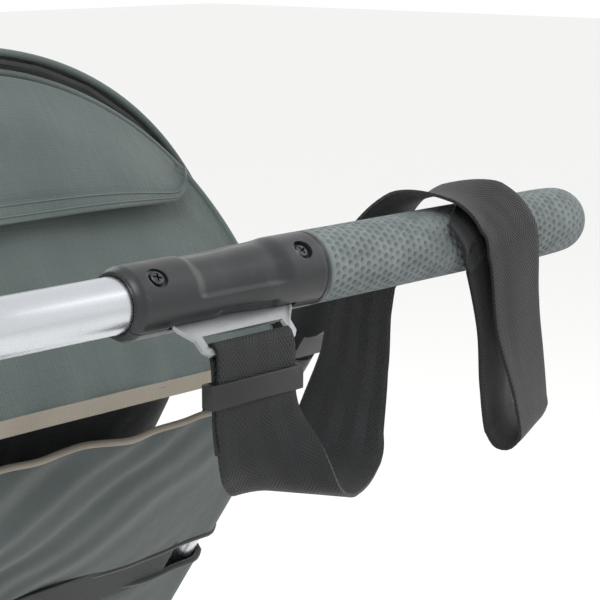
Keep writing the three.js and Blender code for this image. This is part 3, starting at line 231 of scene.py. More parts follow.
def block(name: str, centre: Vector, size: Point, turn: Matrix | None = None) -> bpy.types.Object:
    """A box as a start or a cutter, turned about its centre."""
    deselect()
    bpy.ops.mesh.primitive_cube_add(size=1.0)
    piece = named(bpy.context.active_object, name)
    piece.data.transform(Matrix.Diagonal((*size, 1.0)))
    piece.data.transform(Matrix.Translation(centre) @ (turn.to_4x4() if turn else Matrix.Identity(4)))
    return piece


def rod(name: str, start: Vector, end: Vector, radius: float, sides: int = 32) -> bpy.types.Object:
    """A round rod between two points, as a start or a cutter."""
    deselect()
    bpy.ops.mesh.primitive_cylinder_add(vertices=sides, radius=radius, depth=(end - start).length)
    piece = named(bpy.context.active_object, name)
    turn = (end - start).to_track_quat("Z", "Y").to_matrix().to_4x4()
    piece.data.transform(Matrix.Translation((start + end) / 2) @ turn)
    return piece


def cut(piece: bpy.types.Object, cutters: Sequence[bpy.types.Object],
        operation: str = "DIFFERENCE") -> bpy.types.Object:
    """Cuts or joins solids with a boolean, and removes the cutters."""
    for cutter in cutters:
        finish_with(piece, "BOOLEAN", operation=operation, solver="EXACT", object=cutter)
        bpy.data.objects.remove(cutter)
    return piece


def joined(name: str, parts: Sequence[bpy.types.Object]) -> bpy.types.Object:
    """Joins pieces into one object."""
    deselect()
    for part in parts:
        part.select_set(True)
    bpy.context.view_layer.objects.active = parts[0]
    bpy.ops.object.join()
    return named(parts[0], name)


def refined(node: str, width: float, name: str = "", angle: float = 32.0) -> bpy.types.Object:
    """A copy of a frame node with its flats merged and its edges rounded.

    Args:
        node: The frame node to copy.
        width: Width of the rounding on its edges.
        name: Name of the new piece; the node's with _body after it if left out.
        angle: Edges sharper than this, in degrees, are rounded.

    Returns:
        The new piece, which isn't yet dressed.
    """
    piece = bpy.data.objects.new(name or f"{node}_body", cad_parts[node].data.copy())
    bpy.context.scene.collection.objects.link(piece)
    piece.data.materials.clear()
    with editing(piece):
        bpy.ops.mesh.select_all(action="SELECT")
        bpy.ops.mesh.remove_doubles(threshold=2e-6)
        bpy.ops.mesh.dissolve_limited(angle_limit=math.radians(1.0))
    round_edges(piece, width, 2, angle)
    return smoothed(piece, angle + 4.0)


class Route:
    """A line through points with a frame at each place, for tubes and straps."""

    def __init__(self, points: Sequence[Vector], across: Vector | Sequence[Vector]) -> None:
        """Keeps the points, their running length and a sideways direction squared to the line.

        Args:
            points: Points along the line.
            across: The sideways direction wanted at the start, or one for each point.
        """
        self.points = [Vector(point) for point in points]
        self.lengths = [0.0]
        for before, after in zip(self.points, self.points[1:]):
            self.lengths.append(self.lengths[-1] + (after - before).length)
        self.sides: list[Vector] = []
        wanted = None if isinstance(across, Vector) else across
        side = wanted[0] if wanted else across
        for index in range(len(self.points)):
            way = self.way(index)
            side = wanted[index] if wanted else side
            side = (side - side.dot(way) * way).normalized()
            self.sides.append(side)

    @property
    def length(self) -> float:
        """Length of the whole line."""
        return self.lengths[-1]

    def way(self, index: int) -> Vector:
        """Direction of travel at one of the points."""
        low, high = max(index - 1, 0), min(index + 1, len(self.points) - 1)
        return (self.points[high] - self.points[low]).normalized()

    def at(self, share: float) -> tuple[Vector, Vector, Vector]:
        """The line at a share of its length.

        Args:
            share: From 0 at the start to 1 at the end.

        Returns:
            The point, the sideways direction and the direction out of the strap's face.
        """
        wanted = min(max(share, 0.0), 1.0) * self.length
        index = 0
        while index < len(self.points) - 2 and self.lengths[index + 1] < wanted:
            index += 1
        span = self.lengths[index + 1] - self.lengths[index]
        part = (wanted - self.lengths[index]) / span
        point = self.points[index].lerp(self.points[index + 1], part)
        way = self.way(index).lerp(self.way(index + 1), part).normalized()
        side = self.sides[index].lerp(self.sides[index + 1], part)
        side = (side - side.dot(way) * way).normalized()
        return point, side, way.cross(side)


def bent(corners: Sequence[Vector], bend: float, steps: int = 12, gap: float = 0.02) -> list[Vector]:
    """Straight runs between corners joined by arcs.

    Args:
        corners: The corner points.
        bend: Radius of each arc.
        steps: Points in each arc.
        gap: Distance between points on the straights.

    Returns:
        Points along the line.
    """
    points = [Vector(corners[0])]

    def run_to(goal: Vector) -> None:
        """Adds points on a straight up to goal."""
        start = points[-1]
        count = max(1, round((goal - start).length / gap))
        points.extend(start.lerp(goal, step / count) for step in range(1, count + 1))

    for before, corner, after in zip(corners, corners[1:], corners[2:]):
        arrive = (corner - before).normalized()
        leave = (after - corner).normalized()
        turn = arrive.angle(leave)
        setback = bend * math.tan(turn / 2)
        run_to(corner - setback * arrive)
        axis = arrive.cross(leave).normalized()
        centre = points[-1] + bend * axis.cross(arrive)
        arm = points[-1] - centre
        points.extend(centre + Matrix.Rotation(turn * step / steps, 3, axis) @ arm
                      for step in range(1, steps + 1))
    run_to(Vector(corners[-1]))
    return points


def curve_through(points: Sequence[Vector], steps: int) -> list[Vector]:
    """Evenly spread points on a smooth curve through the given ones."""
    padded = [2 * points[0] - points[1], *points, 2 * points[-1] - points[-2]]
    dense = []
    for a, b, c, d in zip(padded, padded[1:], padded[2:], padded[3:]):
        for step in range(16):
            t = step / 16
            dense.append(0.5 * (2 * b + (c - a) * t + (2 * a - 5 * b + 4 * c - d) * t**2
                                + (3 * b - a - 3 * c + d) * t**3))
    dense.append(Vector(points[-1]))
    route = Route(dense, Vector((1.0, 0.0, 0.0)))
    return [route.at(step / steps)[0] for step in range(steps + 1)]


def round_tube(name: str, points: Sequence[Vector], radius: float, wall: float = TUBE_WALL,
               sides: int = 40) -> bpy.types.Object:
    """A hollow round tube along a line.

    Args:
        name: The new piece's name.
        points: Points on the centre line.
        radius: Outer radius.
        wall: Thickness of the wall, kept inside the radius.
        sides: Faces round the tube.

    Returns:
        The new piece, smooth shaded.
    """
    way = (points[1] - points[0]).normalized()
    across = Vector((0.0, 0.0, 1.0)) if abs(way.z) < 0.9 else Vector((1.0, 0.0, 0.0))
    route = Route(points, across)
    rows = len(points) - 1

    def place(around: float, along: float) -> Vector:
        """A point on the tube's skin."""
        index = round(along * rows)
        side = route.sides[index]
        out = route.way(index).cross(side)
        angle = 2 * math.pi * around
        return route.points[index] + radius * (math.cos(angle) * side + math.sin(angle) * out)

    tube = cloth_grid(name, sides, rows, place, (2 * math.pi * radius, route.length))
    mend(tube)
    thicken(tube, wall, -1.0)
    return smoothed(tube, 50.0)


def ribbon(name: str, route: Route, width: float, thickness: float, rows: int, columns: int = 12,
           lift: Place | None = None) -> bpy.types.Object:
    """A flat strap along a line, with rounded selvedges.

    Args:
        name: The new piece's name.
        route: The line it follows, at the middle of its thickness.
        width: Width of the webbing.
        thickness: Thickness of the webbing.
        rows: Faces along it.
        columns: Faces across it.
        lift: Optional offset out of its face at a place across and along, as Vector z.

    Returns:
        The new closed piece.
    """

    def place(across: float, along: float) -> Vector:
        """A point on the strap's middle surface."""
        point, side, out = route.at(along)
        raised = lift(across, along).z if lift else 0.0
        return point + (across - 0.5) * (width - thickness * 0.5) * side + raised * out

    strap = cloth_grid(name, columns, rows, place, (width, route.length))
    thicken(strap, thickness)
    round_edges(strap, thickness * 0.3, 2, 60.0)
    return smoothed(strap, 70.0)


def wave(value: float, period: float, seed: float = 0.0) -> float:
    """A slow wander between -1 and 1, from fixed noise."""
    return noise.noise(Vector((value / period, seed, seed * 0.37))) * 1.6


# ---------------------------------------------------------------- finishes


def linear(colour: str, alpha: float = 1.0) -> tuple[float, float, float, float]:
    """Turns an sRGB hex colour to the linear values that a shader takes."""
    shares = [int(colour[index:index + 2], 16) / 255 for index in (1, 3, 5)]
    red, green, blue = (share / 12.92 if share <= 0.04045 else ((share + 0.055) / 1.055) ** 2.4
                        for share in shares)
    return red, green, blue, alpha


class Space(Enum):
    """Where a pattern takes its coordinates from."""

    OBJECT = "Object"
    CLOTH = "UV"


class Board:
    """A material's node tree, with its shader, while a finish is being wired."""

    def __init__(self, name: str, space: Space) -> None:
        """Makes the material and its coordinate node.

        Args:
            name: The material's name.
            space: Coordinates that its patterns read, both in metres.
        """
        self.material = bpy.data.materials.new(name)
        self.material.use_nodes = True
        self.tree = self.material.node_tree
        self.shader = self.tree.nodes["Principled BSDF"]
        self.coordinates = self.add("ShaderNodeTexCoord").outputs[space.value]

    def add(self, kind: str, links: dict[str | int, object] | None = None,
            **settings: object) -> bpy.types.Node:
        """Adds a node.

        Args:
            kind: Blender's type name of the node.
            links: Input names or numbers to the sockets or values that feed them.
            settings: The node's own properties.

        Returns:
            The new node.
        """
        node = self.tree.nodes.new(kind)
        for key, value in settings.items():
            setattr(node, key, value)
        for key, value in (links or {}).items():
            if isinstance(value, bpy.types.NodeSocket):
                self.tree.links.new(value, node.inputs[key])
            else:
                node.inputs[key].default_value = value
        return node

    def scaled(self, size: Point, turn: float = 0.0) -> bpy.types.NodeSocket:
        """The coordinates divided by a real size in metres for each axis, turned about Z."""
        scale = tuple(1 / value for value in size)
        mapping = self.add("ShaderNodeMapping", {"Vector": self.coordinates, "Scale": scale,
                                                 "Rotation": (0.0, 0.0, turn)})
        return mapping.outputs["Vector"]

    def grain(self, size: Point, detail: float = 3.0, turn: float = 0.0,
              roughness: float = 0.5) -> bpy.types.NodeSocket:
        """Noise whose lumps have a real size in metres, from 0 to 1."""
        noise_node = self.add("ShaderNodeTexNoise", {"Vector": self.scaled(size, turn), "Scale": 1.0,
                                                     "Detail": detail, "Roughness": roughness})
        return noise_node.outputs["Fac"]

    def between(self, share: bpy.types.NodeSocket, low: tuple[float, object],
                high: tuple[float, object]) -> bpy.types.NodeSocket:
        """A colour ramp between two stops, each a position and an sRGB hex or a grey."""
        ramp = self.add("ShaderNodeValToRGB", {"Fac": share})
        for stop, (position, value) in zip(ramp.color_ramp.elements, (low, high)):
            stop.position = position
            stop.color = linear(value) if isinstance(value, str) else (value, value, value, 1.0)
        return ramp.outputs["Color"]

    def mixed(self, share: object, first: object, second: object) -> bpy.types.NodeSocket:
        """One colour or the other, by a share; colours may be sRGB hex."""
        first, second = (linear(value) if isinstance(value, str) else value for value in (first, second))
        node = self.add("ShaderNodeMix", {0: share, 6: first, 7: second}, data_type="RGBA")
        return node.outputs[2]

    def sums(self, operation: str, first: object, second: object = 0.0) -> bpy.types.NodeSocket:
        """One step of arithmetic on two values."""
        return self.add("ShaderNodeMath", {0: first, 1: second}, operation=operation).outputs[0]

    def stripes(self, axis: str, period: float, turn: float = 0.0) -> bpy.types.NodeSocket:
        """Smooth stripes across X or Y with a real period in metres, from 0 to 1."""
        node = self.add("ShaderNodeTexWave", {"Vector": self.scaled((period, period, period), turn),
                                              "Scale": math.pi / 10},
                        wave_type="BANDS", bands_direction=axis, wave_profile="SIN")
        return node.outputs["Fac"]

    def bump(self, height: bpy.types.NodeSocket, depth: float, after: bpy.types.NodeSocket | None = None,
             strength: float = 1.0) -> bpy.types.NodeSocket:
        """A bump of a real depth in metres, on top of an earlier one where there is one."""
        links: dict[str | int, object] = {"Height": height, "Distance": depth, "Strength": strength}
        if after:
            links["Normal"] = after
        return self.add("ShaderNodeBump", links).outputs["Normal"]

    def wire(self, **sockets: object) -> bpy.types.Material:
        """Sets the shader's sockets, with underscores for spaces in their names."""
        for key, value in sockets.items():
            target = self.shader.inputs[key.replace("_", " ")]
            if isinstance(value, bpy.types.NodeSocket):
                self.tree.links.new(value, target)
            else:
                target.default_value = linear(value) if isinstance(value, str) else value
        return self.material


@dataclass(frozen=True)
class Metal:
    """A bare, plated or anodised metal."""

    name: str
    colour: str
    worn: str
    roughness: float
    lines: Point  # size of its draw or brush marks
    depth: float = 0.00002
    space: Space = Space.OBJECT

    def build(self) -> bpy.types.Material:
        """Wires draw marks, a faint cloudiness and small scuffs."""
        board = Board(self.name, self.space)
        marks = board.grain(self.lines, 4.0)
        clouds = board.grain((0.03, 0.03, 0.03), 2.0)
        scuffs = board.between(board.grain((0.004, 0.009, 0.004), 5.0), (0.62, 0.0), (0.74, 1.0))
        tone = board.mixed(board.sums("MULTIPLY", clouds, 0.6), self.colour, self.worn)
        rough = board.sums("ADD", board.sums("MULTIPLY", marks, 0.16), self.roughness - 0.08)
        rough = board.sums("ADD", rough, board.sums("MULTIPLY", scuffs, 0.12))
        return board.wire(Base_Color=board.mixed(board.sums("MULTIPLY", scuffs, 0.5), tone, self.worn),
                          Metallic=1.0, Roughness=rough, Normal=board.bump(marks, self.depth))


@dataclass(frozen=True)
class Plastic:
    """A moulded plastic with the spark-eroded texture of its tool."""

    name: str
    colour: str
    dusty: str
    roughness: float
    grain: float = 0.0007
    depth: float = 0.00005
    coat: float = 0.0

    def build(self) -> bpy.types.Material:
        """Wires the tool texture, uneven gloss from handling and a little dust."""
        board = Board(self.name, Space.OBJECT)
        texture = board.grain((self.grain,) * 3, 2.0)
        handled = board.grain((0.018, 0.018, 0.018), 3.0)
        dust = board.between(board.grain((0.006, 0.006, 0.012), 6.0, roughness=0.7), (0.56, 0.0), (0.8, 1.0))
        tone = board.mixed(board.sums("MULTIPLY", dust, 0.35), self.colour, self.dusty)
        rough = board.sums("ADD", board.sums("MULTIPLY", handled, 0.18), self.roughness - 0.09)
        return board.wire(Base_Color=tone, Roughness=rough, IOR=1.5, Coat_Weight=self.coat,
                          Normal=board.bump(texture, self.depth))


@dataclass(frozen=True)
class Rubber:
    """A moulded rubber: matt, mottled, dusty in its hollows."""

    name: str
    colour: str
    pale: str
    roughness: float
    grain: float = 0.0006
    depth: float = 0.00006

    def build(self) -> bpy.types.Material:
        """Wires fine pores, mottling and dry dust."""
        board = Board(self.name, Space.OBJECT)
        pores = board.grain((self.grain,) * 3, 3.0)
        mottle = board.grain((0.009, 0.009, 0.009), 5.0, roughness=0.65)
        tone = board.mixed(board.between(mottle, (0.36, 0.0), (0.72, 1.0)), self.colour, self.pale)
        tone = board.mixed(board.between(pores, (0.55, 0.0), (0.75, 0.35)), tone, self.pale)
        return board.wire(Base_Color=tone, Roughness=self.roughness, IOR=1.52, Specular_IOR_Level=0.35,
                          Normal=board.bump(pores, self.depth))


@dataclass(frozen=True)
class Webbing:
    """Woven polyester webbing: twill ribs with lighter lengthwise bands."""

    name: str
    dark: str
    # Colour of the lighter lengthwise bands, and of the painted highlight on the raised ribs.
    light: str
    width: float
    thread: float = 0.0011  # drawn a little coarser than the real 0.8 mm so that it shows
    bands: int = 3

    def build(self) -> bpy.types.Material:
        """Wires crossing twill ribs with a painted highlight on their raised tops, the lengthwise bands and a
        little fuzz.
        """
        board = Board(self.name, Space.CLOTH)
        one_way = board.stripes("X", self.thread * 1.4, math.radians(38))
        other_way = board.stripes("X", self.thread * 1.4, math.radians(-38))
        bands = board.stripes("X", self.width / (self.bands + 0.5))
        in_band = board.between(bands, (0.44, 0.0), (0.56, 1.0))
        weave = board.add("ShaderNodeMix", {0: in_band, 2: one_way, 3: other_way},
                          data_type="FLOAT").outputs[0]
        wefts = board.stripes("Y", self.thread)
        relief = board.sums("ADD", board.sums("MULTIPLY", weave, 0.7), board.sums("MULTIPLY", wefts, 0.3))
        fuzz = board.grain((0.0012, 0.0012, 0.0012), 3.0)
        # Painted highlight: the raised ribs are mixed towards the light colour. The lighter lengthwise bands
        # and the random fuzz are the webbing's own tone.
        share = board.sums("ADD", board.sums("MULTIPLY", relief, 0.45), board.sums("MULTIPLY", in_band, 0.22))
        share = board.sums("ADD", share, board.sums("MULTIPLY", fuzz, 0.2))
        return board.wire(Base_Color=board.mixed(share, self.dark, self.light), Roughness=0.62, IOR=1.5,
                          Specular_IOR_Level=0.4, Sheen_Weight=0.06, Sheen_Roughness=0.4,
                          Normal=board.bump(relief, 0.00035))


@dataclass(frozen=True)
class Cloth:
    """A woven cloth, coated or open, whose threads follow its UV map."""

    name: str
    colour: str
    faded: str
    # Dark colour of the painted shade between the threads, and of the random slubs.
    shade: str
    thread: float
    roughness: float = 0.8
    sheen: float = 0.25
    depth: float = 0.00012
    rib: float = 0.0  # spacing of the thicker ripstop threads, none if zero

    def build(self) -> bpy.types.Material:
        """Wires warp and weft with painted shade between the threads, ripstop lines, faded areas and soft
        creases.
        """
        board = Board(self.name, Space.CLOTH)
        warp = board.stripes("X", self.thread)
        weft = board.stripes("Y", self.thread)
        weave = board.sums("MAXIMUM", warp, weft)
        fade = board.between(board.grain((0.09, 0.09, 0.09), 4.0), (0.3, 0.0), (0.7, 1.0))
        slub = board.grain((0.0006, 0.02, 1.0), 2.0)
        tone = board.mixed(fade, self.colour, self.faded)
        # Painted shade: the gaps between the threads are darkened towards the shade colour; the slubs below
        # darken it at random.
        tone = board.mixed(board.sums("MULTIPLY", board.sums("SUBTRACT", 1.0, weave), 0.55), tone, self.shade)
        tone = board.mixed(board.sums("MULTIPLY", slub, 0.22), tone, self.shade)
        height = weave
        if self.rib:
            ribs = board.sums("MAXIMUM", board.stripes("X", self.rib), board.stripes("Y", self.rib))
            raised = board.between(ribs, (0.96, 0.0), (1.0, 1.0))
            height = board.sums("ADD", weave, raised)
        creases = board.bump(board.grain((0.02, 0.045, 0.02), 5.0, 0.5), 0.0022, strength=0.45)
        return board.wire(Base_Color=tone, Roughness=self.roughness, IOR=1.48, Specular_IOR_Level=0.3,
                          Sheen_Weight=self.sheen, Sheen_Roughness=0.5,
                          Normal=board.bump(height, self.depth, creases))


class Material(Enum):
    """Every finish on the stroller."""

    # Clear-anodised drawn aluminium: bright, with fine lines along the tube.
    TUBE = Metal("anodised_aluminium_drawn", "#d3d6da", "#b3b7bc", 0.27, (0.0005, 0.05, 0.05),
                 space=Space.CLOTH)
    # The same metal on machined fittings, with short marks.
    FITTING = Metal("anodised_aluminium_machined", "#c6c9cd", "#a4a8ad", 0.33, (0.0006, 0.02, 0.0006))
    # Polished alloy rims with turning lines round the axle.
    RIM = Metal("polished_alloy", "#c3c7cb", "#9da1a6", 0.24, (0.0009, 0.02, 0.02))
    # Stainless wire, drawn bright.
    SPOKE = Metal("stainless_wire", "#cdd0d2", "#a5a8ab", 0.22, (0.002, 0.002, 0.002))
    # Stamped aluminium sheet, tumbled matt.
    PLATE = Metal("tumbled_aluminium_sheet", "#a9abad", "#8b8d90", 0.46, (0.0012, 0.0012, 0.0012), 0.00004)
    # Dark zinc on steel screws and the release lever.
    ZINC = Metal("dark_zinc_plated_steel", "#55585c", "#2e3033", 0.36, (0.0008, 0.0008, 0.0008), 0.00003)
    # Glass-filled nylon of the coupling, satin charcoal.
    CHARCOAL = Plastic("glass_filled_nylon_charcoal", "#1b1d1f", "#4b4e50", 0.36)
    # Black nylon of joints, hubs and buckles, a coarser tool texture.
    BLACK = Plastic("moulded_nylon_black", "#131416", "#3f4142", 0.46, 0.0009, 0.00007)
    # Red acetal of what the hand or foot works.
    RED = Plastic("moulded_acetal_red", "#a22c26", "#c27a70", 0.38, coat=0.2)
    # Soft thermoplastic rubber of the grips, grey and faintly chalky.
    GRIP = Rubber("soft_grip_rubber_grey", "#62696a", "#7b8282", 0.8)
    # Carbon-filled tyre rubber.
    TYRE = Rubber("tyre_rubber_black", "#1d1e1f", "#3c3b38", 0.86, 0.0011, 0.00012)
    # Seat-belt webbing of the wrist strap.
    STRAP = Webbing("seat_belt_webbing_black", "#08090a", "#1c1e21", 0.048)
    # Narrower webbing of the harness.
    HARNESS = Webbing("harness_webbing_black", "#0f1113", "#292c2f", 0.025, 0.0013, 2)
    # Bonded polyester sewing thread.
    THREAD = Plastic("bonded_thread_black", "#0e0f10", "#2c2d2f", 0.6, 0.0004)
    # The same thread in the grey-green of the hood.
    SEAT_THREAD = Plastic("bonded_thread_grey_green", "#59645f", "#7f8b87", 0.6, 0.0004)
    # Coated polyester of the hood, grey-green, sun-faded on its crown.
    HOOD = Cloth("coated_polyester_grey_green", "#4d5856", "#616d6a", "#2f3735", 0.0012, 0.72, rib=0.0075)
    # Uncoated polyester of the seat back, darker than the hood.
    SEAT = Cloth("polyester_oxford_slate", "#3d4645", "#4c5654", "#222827", 0.0014, 0.82)
    # Close-woven cover of the pads, dark.
    PAD = Cloth("polyester_pad_cover_charcoal", "#1f2325", "#2b3032", "#101214", 0.0016, 0.86, 0.4)
    # Edge binding tape, light taupe.
    PIPING = Cloth("binding_tape_taupe", "#857d70", "#9a9286", "#5b554b", 0.0011, 0.8)
    # Open-knit mesh of the basket's walls.
    BASKET = Cloth("basket_knit_black", "#1d2022", "#2d3133", "#0b0c0d", 0.0024, 0.9, 0.3, 0.0005)

    def get(self) -> bpy.types.Material:
        """The built material, made the first time it is asked for."""
        return bpy.data.materials.get(self.value.name) or self.value.build()


class Slot(Enum):
    """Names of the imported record's material slots."""

    TUBE = "anodised_tube"
    ALLOY = "wheel_alloy"
    PLATE = "bracket_plate"
    STEEL = "steel_hardware"
    CHARCOAL = "charcoal_plastic"
    BLACK = "black_plastic"
    RED = "red_plastic"
    GRIP = "grip_rubber"
    TYRE = "tyre_rubber"
    WEBBING = "webbing"
    HOOD = "hood_cloth"
    SEAT = "seat_cloth"
    PAD = "pad_cloth"


def dress(piece: bpy.types.Object, material: Material, slot: Slot, body: str,
          *nodes: str) -> bpy.types.Object:
    """Gives a piece its finish, rides it on a body and lets it stand for frame nodes.

    Args:
        piece: The finished mesh.
        material: Its finish.
        slot: The record's slot of that finish; not used.
        body: The frame body it moves with.
        nodes: Frame nodes that it replaces.

    Returns:
        The piece.
    """
    piece.data.materials.clear()
    piece.data.materials.append(material.get())
    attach(piece, body)
    if nodes:
        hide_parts(*nodes)
    LOG.info("%s rides on %s, %d faces", piece.name, body, len(piece.data.polygons))
    return piece


# ---------------------------------------------------------------- push bar


@dataclass
class PushBar:
    """U-shaped push bar with dimpled grips on its bends."""

    bend: float = 0.060
    arm_start: float = -0.032
    grip_arm: float = 0.090
    right_start: float = -0.0017
    left_span: tuple[float, float] = (-0.155, -0.062)
    dimple_rows: float = 0.0043  # distance between rows of dimples
    dimples_round: int = 27
    dimple_radius: float = 0.0014
    dimple_depth: float = 0.0015
    lip: float = 0.0016  # rounding at each end of a grip
    body: str = "push_bar"

    def tube(self) -> None:
        """The bare bent tube."""
        corners = [arm_point(x, along) for x, along in (
            (-FRAME_HALF, self.arm_start), (-FRAME_HALF, -BAR_REACH),
            (FRAME_HALF, -BAR_REACH), (FRAME_HALF, self.arm_start))]
        piece = round_tube("push_bar_tube", bent(corners, self.bend, 20), TUBE_RADIUS, sides=64)
        dress(piece, Material.TUBE, Slot.TUBE, self.body, "handlebar_tube")

    def dimple_tile(self) -> bpy.types.Object:
        """Two staggered square tiles a unit wide, each with a round dimple; Z is depth in metres."""
        deselect()
        bpy.ops.mesh.primitive_plane_add(size=1.0, location=(0.5, 0.5, 0.0))
        tile = settle(named(bpy.context.active_object, "dimple_tile"))
        across = 2 * math.pi * GRIP_RADIUS / self.dimples_round
        with editing(tile) as mesh:
            bpy.ops.mesh.select_all(action="SELECT")
            bpy.ops.mesh.subdivide(number_cuts=1)
            for share, depth in ((1.16, 0.0), (0.92, 0.35), (0.5, 0.86)):
                bpy.ops.mesh.inset(thickness=0.06)
                edge = [v for v in mesh.verts if v.select and any(not f.select for f in v.link_faces)]
                for vertex in edge:
                    eighth = round(math.atan2(vertex.co.y - 0.5, vertex.co.x - 0.5) / (math.pi / 4))
                    angle = eighth * math.pi / 4
                    reach = share * self.dimple_radius
                    vertex.co = Vector((0.5 + reach / across * math.cos(angle),
                                        0.5 + reach / self.dimple_rows * math.sin(angle),
                                        -depth * self.dimple_depth))
            centre = min(mesh.verts, key=lambda v: (v.co.x - 0.5) ** 2 + (v.co.y - 0.5) ** 2)
            centre.co.z = -self.dimple_depth
        finish_with(tile, "ARRAY", count=2, use_relative_offset=False, use_constant_offset=True,
                    constant_offset_displace=(0.5, 1.0, 0.0))
        return tile

    def grip(self, name: str, corners: Sequence[Vector], node: str) -> None:
        """One grip along part of the bar.

        Args:
            name: Name of the piece.
            corners: Its start, any corner it goes round, and its end.
            node: Frame node that it replaces.
        """
        route = Route(bent(corners, self.bend, 40, 0.004), OVER_ARM)
        pairs = round((route.length - 2 * self.lip) / self.dimple_rows / 2)
        skin = self.dimple_tile()
        finish_with(skin, "ARRAY", count=self.dimples_round, use_relative_offset=False,
                    use_constant_offset=True, constant_offset_displace=(1.0, 0.0, 0.0))
        finish_with(skin, "ARRAY", count=pairs, use_relative_offset=False, use_constant_offset=True,
                    constant_offset_displace=(0.0, 2.0, 0.0))

        def on_bar(around: float, reach: float, along: float) -> Vector:
            """A point about the bar: turns round it, distance from its axis, distance along."""
            point, sideways, out = route.at(along / route.length)
            angle = 2 * math.pi * around
            return point + reach * (math.cos(angle) * sideways + math.sin(angle) * out)

        run = route.length - 2 * self.lip
        for vertex in skin.data.vertices:
            turns, row, depth = vertex.co
            vertex.co = on_bar(turns / self.dimples_round, GRIP_RADIUS + depth,
                               self.lip + row / (2 * pairs) * run)
        inner = TUBE_RADIUS + 0.0002
        ends = [(self.lip, GRIP_RADIUS), (self.lip * 0.35, GRIP_RADIUS - 0.0005), (0.0, GRIP_RADIUS - 0.0016),
                (0.0, inner)]
        middle = [(route.length * step / 40, inner) for step in range(1, 40)]
        lining = ends + middle + [(route.length - along, reach) for along, reach in reversed(ends)]
        sleeve = cloth_grid("sleeve", 2 * self.dimples_round, len(lining) - 1,
                            lambda u, v: on_bar(u, lining[round(v * (len(lining) - 1))][1],
                                                lining[round(v * (len(lining) - 1))][0]), (1.0, 1.0))
        piece = mend(joined(name, [skin, sleeve]), 2e-5)
        smoothed(piece, 60.0)
        dress(piece, Material.GRIP, Slot.GRIP, self.body, node)

    def build(self) -> None:
        """Builds the tube and both grips."""
        self.tube()
        right = [arm_point(self.right_start, -BAR_REACH), arm_point(FRAME_HALF, -BAR_REACH),
                 arm_point(FRAME_HALF, -BAR_REACH + self.grip_arm)]
        left = [arm_point(-FRAME_HALF, along) for along in self.left_span]
        self.grip("grip_sleeve_right", right, "grip_right")
        self.grip("grip_sleeve_left", left, "grip_left")


